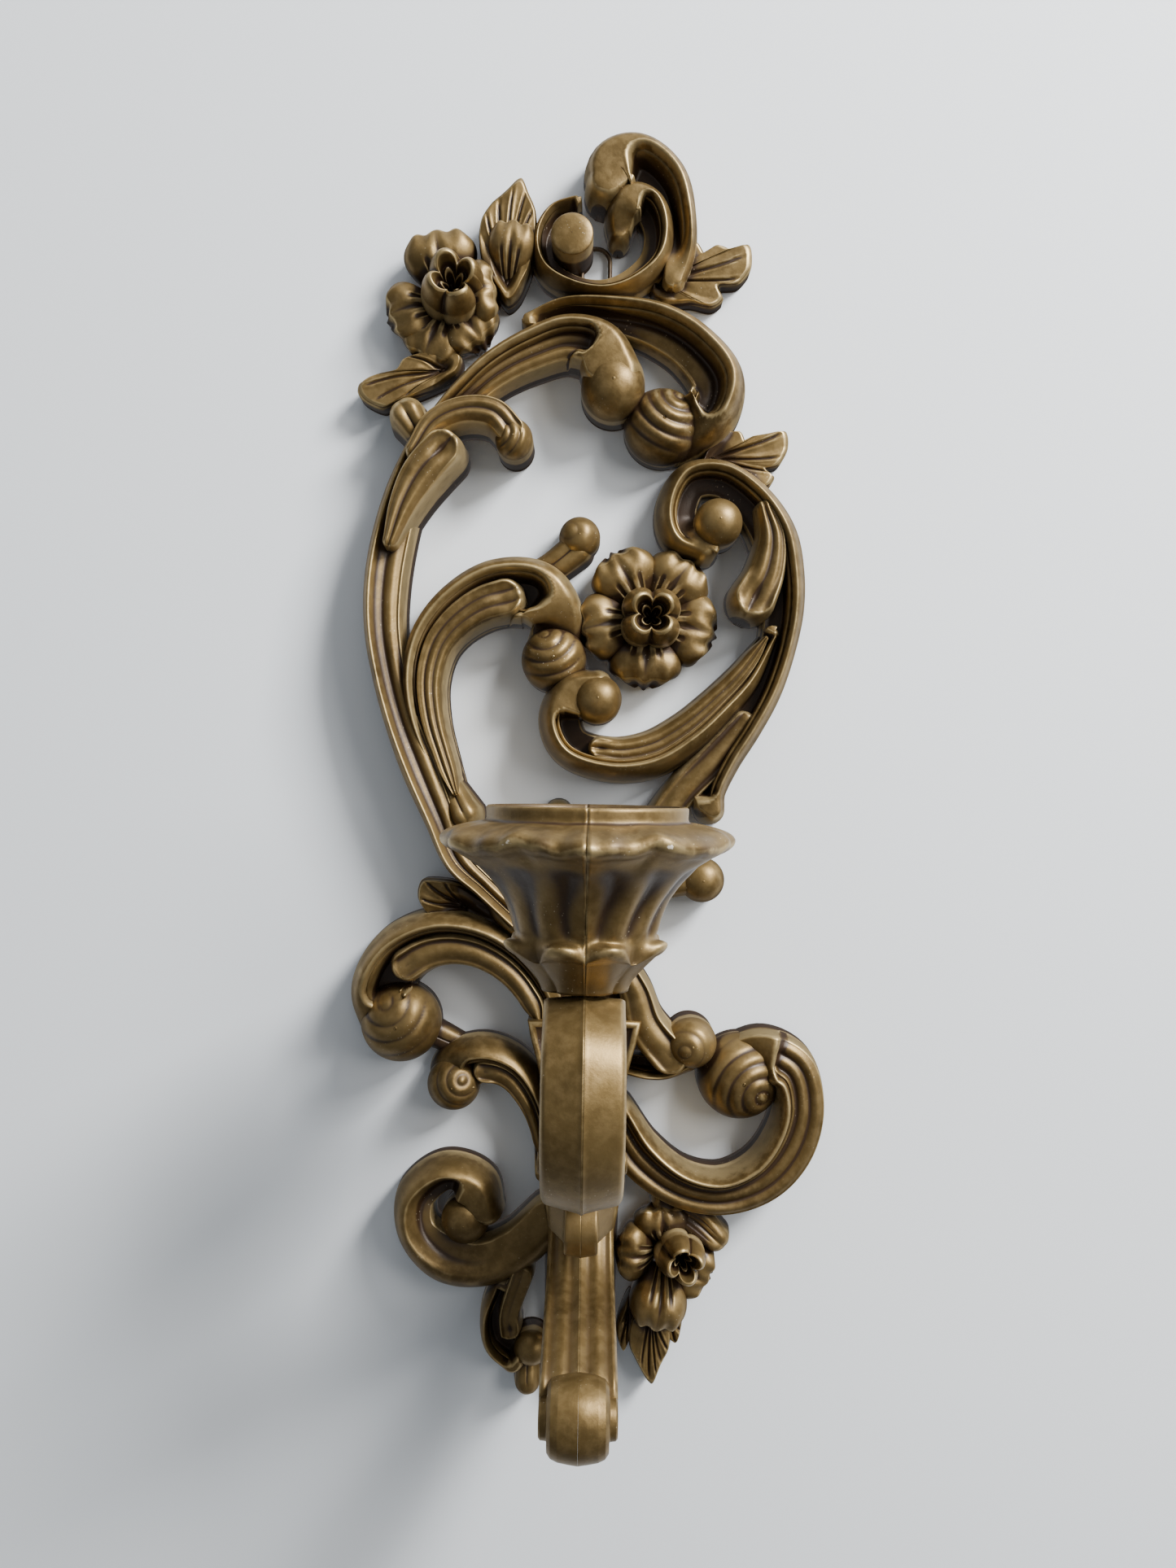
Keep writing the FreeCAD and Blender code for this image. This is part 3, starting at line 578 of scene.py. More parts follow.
def closed_curve(points, count):
    """Evenly spaced points along a smooth closed line through the given ones."""
    pts = np.asarray(points, float)
    n = len(pts)
    dense = []
    for i in range(n):
        p0, p1, p2, p3 = pts[i - 1], pts[i], pts[(i + 1) % n], pts[(i + 2) % n]
        for t in np.linspace(0, 1, 16, endpoint=False):
            dense.append(p1 + 0.4 * t * (p2 - p0) + t * t * (0.8 * p0 - 2.2 * p1 + 1.8 * p2 - 0.4 * p3)
                + t ** 3 * (-0.4 * p0 + 1.2 * p1 - 1.2 * p2 + 0.4 * p3))
    dense = np.array(dense + [dense[0]])
    run = np.concatenate([[0], np.cumsum(np.hypot(*np.diff(dense, axis=0).T))])
    at = np.linspace(0, run[-1], count, endpoint=False)
    return np.column_stack([np.interp(at, run, dense[:, k]) for k in (0, 1)])


def blade(name, node, root, outline, reach, veins, base=0.1):
    """Flat leaf of a free outline: bevelled edge, and fine veins from the root to shares of the outline."""
    rows, cols = 34, 150
    border = closed_curve([cast(x, z, 1)[:2] for x, z in outline], cols)
    root = np.array(cast(root[0], root[1], 1)[:2])
    k = (np.linspace(0.03, 1, rows) ** 0.8)[:, None]
    away = border - root
    length = np.hypot(away[:, 0], away[:, 1])[None, :]
    x = root[0] + away[None, :, 0] * k
    z = root[1] + away[None, :, 1] * k
    height = reach * (0.70 + 0.30 * smooth(0.0, 0.6, k)) + 0 * x
    share = np.linspace(0, 1, cols, endpoint=False)[None, :] + 0.02 * np.sin(math.pi * k)
    girth = cols * np.hypot(*(border[1] - border[0]))
    grooves = np.zeros_like(height)
    for vein in veins:
        aside = np.abs((share - vein + 0.5) % 1 - 0.5) * girth * k
        grooves += np.exp(-(aside / 0.55) ** 2) - 0.35 * np.exp(-((aside - 1.3) / 0.7) ** 2)
    grooves *= smooth(0.05, 0.2, k) * smooth(0.97, 0.8, k)
    lobes = np.abs(np.sin(math.pi * (share - veins[0]) * 7))
    height = height - 0.8 * grooves + 0.7 * (lobes - 0.5) * smooth(0.2, 0.8, k)
    inside = (1 - k) * length
    height = height * np.sqrt(np.clip(1 - np.clip(1 - inside / 1.5, 0, 1) ** 2, 0, 1))
    height[-1] = height[-2] - 0.5
    sides = np.array([0.8, 0.4, 0.0])[:, None] * height[-1:]
    x, z, grooves = (np.vstack([grid, grid[[-1] * 3]]) for grid in (x, z, grooves))
    height = np.vstack([height, sides])
    # painted shade: grooves and the bevelled sides darken, part glazing, part painted shade; the front point
    # gets a set shade
    glaze_and_shade, edge = relief_fields(height, 0.5 * np.clip(grooves, 0, 1))
    glaze_and_shade[-3:], edge[-3:] = 0.25, 0
    add_boss(name, node, x, z, height, base, root, glaze_and_shade, edge, 0.2)


def petal(name, node, centre, angle, inner, outer, half, reach, low, base=0.2, ruffle=1.6):
    """One ruffled petal: narrow deep root with veins, full swelling, three-lobed rolled edge."""
    rows, cols = 40, 45
    cx, cz, half = cast(*centre, half)
    inner, outer = inner * PATTERN_SCALE, outer * PATTERN_SCALE
    b = np.linspace(0, 1, rows)[:, None] * np.ones((1, cols))
    t = np.linspace(-1, 1, cols)[None, :] * np.ones((rows, 1))
    a = np.sin(t * math.pi / 2)
    length = (outer - inner) * (1 - 0.10 * a ** 2 + 0.03 * np.cos(3 * math.pi * a))
    round_tip = np.sqrt(np.clip(1 - np.clip((b - 0.62) / 0.40, 0, 1) ** 3.2, 0.02, 1))
    width = half * (0.42 + 0.58 * np.sin(np.clip(b * 1.5, 0, 1) * math.pi / 2)) * round_tip
    rad = inner + length * b
    lat = width * a
    ca, sa = math.cos(angle), math.sin(angle)
    x = cx + rad * ca - lat * sa
    z = cz + rad * sa + lat * ca
    swell = np.sin(np.clip(b * 1.02, 0, 1) ** 0.85 * math.pi * 0.78)
    height = low + (reach - low) * swell * (1 - 0.30 * np.abs(a) ** 2.2)
    height += ruffle * np.cos(3 * math.pi * a) * smooth(0.45, 0.95, b) * 0.4
    height -= ruffle * 0.9 * np.exp(-(a / 0.14) ** 2) * smooth(0.25, 0.6, b)
    vein = np.exp(-((np.abs(a) - 0.38) / 0.07) ** 2) + np.exp(-(a / 0.07) ** 2)
    height -= 1.5 * vein * smooth(0.60, 0.25, b)
    border = np.maximum(np.abs(t) ** 5, smooth(0.86, 1.0, b) ** 1.3)
    height = height * (1 - 0.55 * border)
    height = np.maximum(height, 1.2)
    # painted shade: the petal root by the cup and its veins darken, part glazing, part painted shade; the
    # back skin gets a set shade
    dark = 0.7 * smooth(0.35, 0.0, b) + 0.8 * vein * smooth(0.6, 0.3, b)
    front = np.stack([x, -(base + height), z], axis=-1)
    shrink, thick = 0.93, 2.0
    mx, mz = x.mean(), z.mean()
    inner_skin = -(base + np.maximum(height - thick, 0.0))
    back = np.stack([mx + (x - mx) * shrink, inner_skin, mz + (z - mz) * shrink], axis=-1)
    back[0, :, 1] = back[-1, :, 1] = -base
    back[:, 0, 1] = back[:, -1, 1] = -base
    add_slab(name, node, front, back, *relief_fields(height, dark), 0.4)


def flower_cup(name, node, centre, radius, reach, turn, low, lean=(0.0, 0.0)):
    """Four-lobed cup of a flower: rolled lips that curl in between the lobes, deep hole in the middle."""
    rows, cols, base = 60, 128, 0.3
    *centre, radius = cast(*centre, radius)
    ang = np.linspace(0, 2 * math.pi, cols, endpoint=False)[None, :] * np.ones((rows, 1))
    k = np.linspace(0, 1, rows)[:, None] * np.ones((1, cols))
    lobe = np.abs(np.cos(2 * (ang - turn)))
    outline = radius * (0.80 + 0.26 * lobe ** 0.6)
    rho = 1 - k
    rim_at = 0.62 - 0.14 * (1 - lobe) ** 2
    out = np.clip((rho - rim_at) / (1 - rim_at), 0, 1)
    rim_height = reach - 4.5 * (1 - lobe ** 0.8)
    wall = low + (rim_height - low) * np.sqrt(np.clip(1 - out ** 2.0, 0, 1))
    inn = np.clip((rim_at - rho) / rim_at, 0, 1)
    drop = (rim_height - low) * 0.40 * smooth(0.02, 0.35, inn)
    ring = 2.6 * np.exp(-((inn - 0.46) / 0.13) ** 2) * lobe ** 2
    height = wall - drop + ring
    height -= 6.0 * smooth(0.58, 0.78, inn + 0.12 * lobe)
    x = centre[0] + outline * rho * np.cos(ang) + lean[0] * (height - low) / reach
    z = centre[1] + outline * rho * np.sin(ang) + lean[1] * (height - low) / reach
    height[0] = 0
    # painted shade: the deep middle and the clefts between lobes darken, part glazing, part painted shade;
    # the middle point gets full shade
    dark = 0.9 * smooth(0.10, 0.55, inn) + 0.5 * (1 - lobe) ** 3
    glaze_and_shade, edge = relief_fields(height, dark)
    # painted highlight: a bright line along the lip crest, part rubbed wear, part painted highlight
    edge = edge + 0.8 * np.exp(-(inn / 0.05) ** 2) * (out < 0.2)
    middle = rows * cols
    faces = grid_quads(rows, cols, wrap=True)
    for c in range(cols):
        d = (c + 1) % cols
        faces.append(((rows - 1) * cols + c, (rows - 1) * cols + d, middle))
        faces.append((d, c, middle + 1))
    add_boss(name, node, x, z, height, base, centre, glaze_and_shade, edge, 1.0, faces, tip=-1)


def loft(rings):
    """Points and faces of a closed skin through rings of equal count."""
    rows, cols = len(rings), len(rings[0])
    points = np.concatenate([np.asarray(r, float) for r in rings])
    faces = grid_quads(rows, cols, wrap=True)
    faces.append(tuple(range(cols))[::-1])
    faces.append(tuple((rows - 1) * cols + c for c in range(cols)))
    return points, faces


# ------------------------------------------------------------------ back plate

def build_plate():
    crest, arch, right = "crest_scrolls", "arch_scrolls", "right_scroll"
    scroll("crest_curl", crest, [(29.5, 300, 4.5), (31.5, 311, 6.5), (29.5, 324, 8.8), (24, 336.5, 11.5),
        (14, 343, 12.5), (6, 341, 11.5), (3.5, 334.5, 8.5)], 20, -1, rim=0.55, flute=0.0, close=0.95,
        stop=1.0, tail=24, soft=5.5)
    scroll("crest_hook", crest, [(-8, 329, 2.5), (-16, 325, 4), (-20.5, 315, 4.5), (-18, 304.5, 5),
        (-8, 298, 5), (4, 296.5, 5.5), (14, 300.5, 6), (22, 308.5, 6.5), (23.5, 319, 6.5),
        (20, 327.5, 7), (13.5, 329.5, 7.5), (9, 324, 6.5), (8.5, 317, 4.5)], 19, -1, rim=0.3, floor=0.45,
        flute=0.0, stop=2.4, soft=3.0, sink=0.3, base=0.3)
    knob("crest_knob", crest, -9, 312.5, 7.8, 23, crown=1.6, side_shade=0.85)
    blade("crest_leaf", crest, (24, 301), [(21, 296), (27, 292.5), (36, 293), (44, 291.5), (48.5, 294.5),
        (47, 299.5), (54, 300.5), (58.5, 305.5), (59, 311), (57.5, 315.5), (51, 313.8), (46.5, 315.2),
        (41.8, 312), (37.5, 317), (29, 314.5), (22, 307)], 9, (0.40, 0.49, 0.57, 0.20))

    scroll("arch_inner", arch, [(-65, 236, 3.5), (-57, 246.5, 5.5), (-46, 257, 7), (-35.5, 265.5, 8),
        (-23.5, 272, 9), (-10, 276.5, 10), (2, 273.5, 11), (7.5, 263, 12)], 23, 1, rim=0.45, floor=0.68,
        flutes=4, flute=1.5, tail=10, close=0.7, stop=1.2, soft=2.5)
    knob("arch_inner_ball", arch, 7, 258.5, 12, 25, squash=(1.0, 1.05))
    scroll("arch_outer", arch, [(-25, 283.5, 3), (-12, 288, 4.5), (8, 286, 7), (24.5, 282, 9),
        (37.5, 274, 10), (46.5, 261.5, 11), (42.5, 249, 11), (30, 243.5, 12)], 23, 1, rim=0.42,
        floor=0.5, flutes=3, flute=1.0, tail=6, close=0.9, stop=1.0, soft=4.5, sink=0.45)
    knob("arch_outer_ball", arch, 26, 245.5, 14.5, 22, rings=3.0, centre=(0.45, 0.72), ring_depth=1.1)

    scroll("right_scroll", right, [(42, 199.5, 6.5), (34, 204.5, 8.5), (32, 214, 8.5), (37, 224.5, 8),
        (48, 225.5, 7.5), (60, 217, 8.5), (68.5, 204, 9.5), (71.5, 190.5, 9.5), (72.5, 177, 8.5),
        (70.5, 162, 7.5), (65.5, 146.5, 7.5), (58.5, 133, 7.5), (50.5, 120, 7.5), (45.5, 108, 7),
        (46, 101, 6)], 24, 1, rim=0.34, floor=0.46, flutes=2, flute=0.6, stop=0.6, tail=18, soft=3.0)
    ribbon("right_lip", right, [(63.5, 213, 3.5), (66.5, 202, 6), (65, 190, 8), (60.5, 180, 9.5)], 22, 1,
        3, amp=1.3, curl=2.0, base=0.4)
    knob("right_ball", right, 47, 208, 9, 25)
    ribbon("right_stem", right, [(58, 134, 5), (46, 119, 7), (34, 106, 7), (22, 86, 8), (10, 62, 9)], 17,
        1, 2)
    blade("right_leaf", right, (44, 234), [(40, 230), (46, 226.5), (55, 225), (63, 222.5), (67, 224),
        (69, 227.5), (66, 230.5), (70.5, 232), (73.8, 238), (73, 244.7), (66, 244), (61.5, 243.2),
        (58.2, 241), (56, 245), (51, 244.5), (44, 240)], 9, (0.36, 0.46, 0.56, 0.20))

    scroll("ring_scroll", "ring_scroll", [(68, 167, 3.5), (58.5, 151, 7), (49, 140.5, 8), (37, 129.5, 9),
        (23.5, 121.5, 9.5), (8, 119.5, 9), (-7, 124.5, 8.5), (-11, 135, 8.5), (-6, 145, 8),
        (3, 147.5, 6)], 24, 1, rim=0.25, stop=2.2, leaf=(0.02, 0.66, 0.55, -0.38, 0.78, 3))
    knob("ring_ball", "ring_scroll", 3, 141.5, 9, 28)

    scroll("mid_scroll", "middle_scroll", [(-48, 100, 4.5), (-55, 117, 6.5), (-60.5, 133.5, 8),
        (-62, 149, 9), (-58.5, 163, 10), (-49, 174.5, 11.5), (-34.5, 182, 13), (-20, 181, 13),
        (-12, 171, 10.5), (-13.5, 162, 11)], 24, 1, rim=0.56, floor=0.42, tail=8, close=0.8, stop=1.4,
        soft=4.0, sink=0.5, leaf=(0.04, 0.74, 0.66, -0.30, 0.88, 4))
    knob("mid_ball", "middle_scroll", -13.5, 156.5, 12.3, 23, rings=2.6, centre=(-0.3, 0.8), ring_depth=0.9)
    leaf_blade("mid_nub", "middle_scroll", [(-30, 187, 4.5), (-16, 191.5, 6.5), (-6, 199, 7.2)], 14,
        veins=0, cup=1.0)
    knob("mid_nub_end", "middle_scroll", -4.6, 203.2, 7.8, 16, rings=1.2, centre=(-0.5, 0.2), ring_depth=0.5)

    stem = "left_stem"
    scroll("left_stem", stem, [(-64.5, 237, 6), (-70.5, 219.5, 8), (-75, 202, 8.5), (-77.5, 184.5, 8.5),
        (-77.5, 167, 8), (-74.5, 149, 7.5), (-69.5, 131.5, 7.5), (-62.5, 114, 8), (-55, 96.5, 7),
        (-48, 80.5, 6), (-38, 71, 5), (-17, 52, 5)], 24, -1, rim=0.5, floor=0.8, flutes=3, flute=1.4,
        stop=0.2)
    leaf_blade("left_stem_nub", stem, [(-63, 236, 5), (-69.5, 246.5, 8)], 24, veins=0, cup=2.5)
    ribbon("left_hook", stem, [(-66, 232, 4), (-59, 242.5, 5.5), (-48, 247.5, 6), (-37, 246.5, 6.5),
        (-30.5, 240, 6.5)], 23, 1, 3, amp=1.2)
    knob("hook_ball", stem, -29.5, 237.5, 7, 24, rings=2, centre=(-0.9, 0.2), ring_depth=0.8, squash=(1, 1.1))
    ribbon("left_lip", stem, [(-74, 198, 3.5), (-69.5, 212, 6.5), (-63.5, 223.5, 8.5),
        (-55.5, 232.5, 8.5)], 25, 1, 3, amp=1.3, curl=2.0)
    leaf_blade("nub_left", stem, [(-51, 108, 5), (-45.5, 98, 7)], 24, veins=0, cup=1.5)
    blade("flare_leaf", stem, (-46, 63), [(-30, 48), (-40, 54), (-52, 57.5), (-60, 60.5), (-63.5, 66),
        (-62, 73), (-52, 73), (-44, 70), (-36, 64), (-27, 55)], 14, (0.50, 0.58, 0.42))
    leaf_blade("teardrop", stem, [(-35, 66, 4.5), (-31.5, 61, 5), (-27, 56, 3)], 22, veins=0)

    low_left = "lower_left_scroll"
    scroll("lower_left", low_left, [(-12, 11.5, 5), (-16.5, 28.5, 8), (-26.5, 42, 9.5),
        (-40.5, 50, 10.5), (-56, 51, 11.5), (-70, 44, 12), (-77, 31, 12), (-73, 19, 13)], 23, -1,
        rim=0.5, floor=0.38, tail=8, close=0.85, stop=0.6, soft=4.0, sink=0.45,
        leaf=(0.1, 0.74, 0.6, -0.36, 0.80, 2))
    knob("lower_left_ball", low_left, -69.5, 19, 15.2, 22, rings=2.6, centre=(-0.3, 0.6), ring_depth=0.6)
    scroll("second_left", low_left, [(-14, -36.5, 4), (-14.5, -23, 5), (-18.5, -9, 7), (-27, 2, 8.5),
        (-38.5, 5.5, 9.5), (-48.5, 1, 10), (-50, -4, 9)], 18, -1, rim=0.2, floor=0.35, tail=8, close=1.0,
        stop=0.8, sink=0.4, leaf=(0.1, 0.75, 0.55, -0.42, 0.78, 2))
    knob("second_left_ball", low_left, -49, -4, 10, 18, rings=2.6, centre=(0.4, 0.3), ring_depth=0.6)
    leaf_blade("second_left_link", low_left, [(-47, 9, 5), (-58, 14, 6)], 7, veins=0)

    bottom = "bottom_scroll"
    scroll("bottom_left", bottom, [(-12, -54, 9), (-23.5, -65.5, 10), (-37.5, -71, 10.5),
        (-51.5, -68.5, 11), (-62, -59, 8.5), (-62.5, -47, 8), (-51.5, -38, 7.5), (-39, -42, 7.5),
        (-35, -51, 6)], 20, 1, rim=0.2, floor=0.42, flute=0.0, stop=2.0, tail=110, soft=5.0)
    knob("bottom_left_ball", bottom, -43.5, -54, 9, 21)
    scroll("small_bottom", bottom, [(-29, -81, 6), (-33.5, -91, 4.5), (-32, -101, 5), (-25, -107, 5.5)],
        16, -1, rim=0.4, stop=0.0)
    ribbon("small_bottom_leaf", bottom, [(-22, -75, 5), (-26.5, -90, 4.5), (-26, -95, 4.5)], 14, -1, 1)
    knob("small_bottom_ball", bottom, -18, -102, 6.5, 18)
    leaf_blade("small_bottom_nub", bottom, [(-19.5, -106, 5), (-19.5, -117, 5.5)], 12, veins=0)

    low_right = "lower_right_scroll"
    scroll("lower_right", low_right, [(12, -14, 8), (21.5, -29.5, 9.5), (36.5, -40, 9), (53, -42.5, 9),
        (68, -36.5, 10), (77.5, -25, 10.5), (81.5, -10, 10), (78, 4, 10), (68, 8.5, 10.5), (59, 4, 12)],
        23, 1, rim=0.6, floor=0.68, flutes=4, flute=1.4, stop=1.2, tail=4, sink=0.45)
    knob("lower_right_ball", low_right, 59, 0.5, 16.2, 23, rings=3.2, centre=(0.45, -0.35), ring_depth=1.0)
    ribbon("right_small", low_right, [(13, 44, 5), (19, 33, 6.5), (23, 20.5, 8), (32, 9.5, 8.5)], 20, 1, 2)
    scroll("right_small_outer", low_right, [(14, 4, 4), (29.5, 3.5, 5), (38, 8, 7)], 18, -1, rim=0.4,
        stop=-0.3)
    knob("right_small_ball", low_right, 40, 14, 9.5, 24, rings=2, centre=(-0.3, -0.2), ring_depth=0.5)
    leaf_blade("right_small_link", low_right, [(46, 8, 6), (54, 6, 8)], 12, veins=0)

    spine = "plate_spine"
    leaf_blade("spine", spine, [(0, -112, 13), (0, -61.5, 14), (0, 0, 15), (0, 45, 16), (0, 78, 18)], 10,
        veins=1)
    leaf_blade("nub_mid", spine, [(-11, 80, 5.5), (-11, 99, 5.5)], 12, veins=0, cup=1)
    leaf_blade("nub_right", spine, [(14, 68, 5), (36.5, 73.5, 6)], 15, veins=0)
    knob("nub_right_ball", spine, 43.5, 74.5, 8.5, 18)


def ring_of_petals(node, label, centre, inner, low, petals):
    """Petals round a centre, from (direction in degrees, outer radius, half-width, reach)."""
    for i, (angle, outer, half, reach) in enumerate(petals):
        name = "%s_petal_%d" % (label, i + 1)
        petal(name, node, centre, math.radians(angle), inner, outer, half, reach, low, base=0.2 + 0.05 * i)


def build_flowers():
    upper = "flower_upper"
    ring_of_petals(upper, "upper", (-56, 292), 5, 6, [(100, 27, 14, 17), (8, 20, 13, 19),
        (198, 24, 12, 15), (250, 25, 12, 13), (310, 22, 12, 15)])
    flower_cup("upper_cup", upper, (-53.5, 293), 12, 27, turn=0.4, low=8, lean=(1.0, 4.0))
    petal("bud_petal", upper, (-33, 299), math.radians(84), 0, 23, 9.5, 19, 8, base=0.4, ruffle=1.0)
    blade("bud_leaf", upper, (-33.5, 298), [(-33, 290), (-38, 296), (-43, 306), (-44.4, 315),
        (-43.4, 322), (-39.5, 328), (-33.6, 333), (-28.6, 337), (-25.5, 331), (-23, 325), (-22.5, 316),
        (-24, 306), (-28, 295)], 14, (0.43, 0.50, 0.57, 0.36, 0.64))
    blade("left_leaf", upper, (-57, 266), [(-50, 271), (-58, 275), (-66, 272), (-73, 269.5),
        (-76, 264.8), (-84, 262.8), (-88.5, 260), (-89.3, 256.5), (-87, 253.5), (-80, 250.5), (-73, 254),
        (-69, 255), (-60, 259), (-52, 264)], 11, (0.40, 0.48, 0.56, 0.24, 0.70))
    middle = "flower_middle"
    ring_of_petals(middle, "middle", (21.5, 173.5), 6, 6, [(120, 28, 13, 17), (52, 28, 13, 15),
        (345, 27, 14, 15), (268, 27, 14, 16), (193, 27, 13, 17)])
    flower_cup("middle_cup", middle, (22.5, 172.5), 12, 28, turn=0.75, low=8)
    lower = "flower_lower"
    ring_of_petals(lower, "lower", (32, -68), 4, 5, [(175, 19, 11, 15), (95, 20, 11, 13),
        (330, 20, 11, 13), (262, 28, 11, 20)])
    flower_cup("lower_cup", lower, (36.5, -65.5), 9, 28, turn=0.3, low=8, lean=(2.5, 0.5))
    blade("lower_leaf", lower, (27, -88), [(22, -86), (18.8, -95), (19, -103), (22.5, -110),
        (27.5, -117), (31, -110), (34, -104), (34.5, -96), (32, -86), (27, -80)], 10,
        (0.40, 0.46, 0.52, 0.33, 0.59))
    blade("lower_leaf_right", lower, (34, -90), [(30, -88), (31, -96), (36.5, -102.5), (39, -96),
        (38.5, -89), (34.5, -83)], 8, (0.38, 0.50), base=0.3)
    blade("lower_leaf_left", lower, (18.5, -91), [(19, -83), (15.5, -90), (14, -98), (16.5, -105.5),
        (20, -99), (22.5, -90)], 8, (0.45, 0.55), base=0.3)
    leaf_blade("lower_curl", lower, [(32, -48, 6), (44, -55, 7.5), (51, -61, 6)], 14, veins=1, cup=2)


# ------------------------------------------------------------------ arm

ARM_HALF = 12.15


def arm_strip(name, side, stations, flutes=0.0, ridge=1.0, half=ARM_HALF, taper=None):
    """One half of a strap of the arm. Stations are (reach, z, half-thickness); the front is on the left."""
    line, run = curve_through(stations, 1.0)
    tangent = tangents(line)
    total = run[-1]
    rings = []
    dark = []
    across = np.array([0, .04, .09, .15, .22, .3, .38, .46, .54, .62, .7, .78, .85, .91, .955, .985, 1.0])
    w0, w1 = line[0, 2], line[-1, 2]
    rows = [(line[0], tangent[0], -w0 * a, a) for a in (0.95, 0.8, 0.5, 0.2)]
    rows += [(line[i], tangent[i], 0.0, 0.0) for i in range(len(line))]
    rows += [(line[-1], tangent[-1], w1 * a, a) for a in (0.15, 0.35, 0.55, 0.72, 0.86, 0.95, 0.995)]
    for i, (station, tan, push, cap) in enumerate(rows):
        here = run[min(max(i - 4, 0), len(run) - 1)] / total
        width = half * (taper(here) if taper else 1.0)
        thick = station[2] * math.sqrt(max(1 - cap ** 2, 0.01))
        centre = station[:2] + tan * push
        normal = np.array([-tan[1], tan[0]])
        bump = ridge * (1 - across) + 0.35 * np.exp(-(across / 0.045) ** 2)
        if flutes:
            bump = bump + flutes * (ridged(across * 2.0) - 0.5) * smooth(1.0, 0.9, across)
        corner = 1.6 * np.clip((across - 0.88) / 0.12, 0, 1) ** 2
        front = thick + (bump - corner) * math.sqrt(max(1 - cap ** 2, 0.01))
        back = -thick + corner
        ring = []
        for a, off in zip([*across, *across[::-1]], [*front, *back[::-1]]):
            p = centre + normal * off
            ring.append((side * (0.01 + a * width), -p[0], p[1]))
        rings.append(ring)
        # painted shade: flute valleys and the back darken, part glazing, part painted shade
        low = 0.5 * (1 - ridged(across * 2.0)) if flutes else 0 * across
        dark.append(np.concatenate([low, np.full(len(across), 0.25)]))
    points, faces = loft(rings)
    # painted highlight: bright lines along the ridge and the outer corner, part rubbed wear, part painted
    # highlight
    edge = np.tile(np.concatenate([np.exp(-((across - 0.97) / 0.03) ** 2) * 0.9
        + np.exp(-(across / 0.03) ** 2) * 0.8, np.zeros(len(across))]), len(rings))
    fields = {"glaze_and_shade": np.concatenate(dark), "edge": edge, "chips": 0.32 + 0.45 * edge}
    label = "left" if side < 0 else "right"
    add_piece(name + "_" + label, points, faces, "sconce", "arm_half_" + label, fields=fields)


def turned(name, profile, centre, axis, node, cols=64, body="sconce", mat=GILT):
    """Closed turned piece from (radius, along) points, starting and ending on the axis."""
    angles = np.linspace(0, 2 * math.pi, cols, endpoint=False)
    axis = np.asarray(axis, float)
    helper = np.array([0.0, 0, 1]) if abs(axis[2]) < 0.9 else np.array([0.0, 1, 0])
    e1 = np.cross(axis, helper)
    e1 /= np.linalg.norm(e1)
    e2 = np.cross(axis, e1)
    inner = [p for p in profile if p[0] > 1e-6]
    points = [np.asarray(centre) + axis * profile[0][1]]
    for r, h in inner:
        for a in angles:
            points.append(np.asarray(centre) + axis * h + (e1 * math.cos(a) + e2 * math.sin(a)) * r)
    points.append(np.asarray(centre) + axis * profile[-1][1])
    faces = grid_quads(len(inner), cols, 1, wrap=True)
    for c in range(cols):
        d = (c + 1) % cols
        faces.append((0, 1 + d, 1 + c))
        faces.append((len(points) - 1, 1 + (len(inner) - 1) * cols + c, 1 + (len(inner) - 1) * cols + d))
    add_piece(name, points, faces, body, node, mat)


def rounded(profile, bend=0.25):
    """Profile with its corners softened."""
    out = [profile[0]]
    for a, b, c in zip(profile[:-2], profile[1:-1], profile[2:]):
        a, b, c = (np.asarray(q, float) for q in (a, b, c))
        cut = min(bend, 0.45 * np.linalg.norm(a - b), 0.45 * np.linalg.norm(c - b))
        p = b + (a - b) / max(np.linalg.norm(a - b), 1e-9) * cut
        q = b + (c - b) / max(np.linalg.norm(c - b), 1e-9) * cut
        for t in (0, 0.33, 0.67, 1):
            out.append(tuple((1 - t) ** 2 * p + 2 * t * (1 - t) * b + t * t * q))
    out.append(profile[-1])
    return out


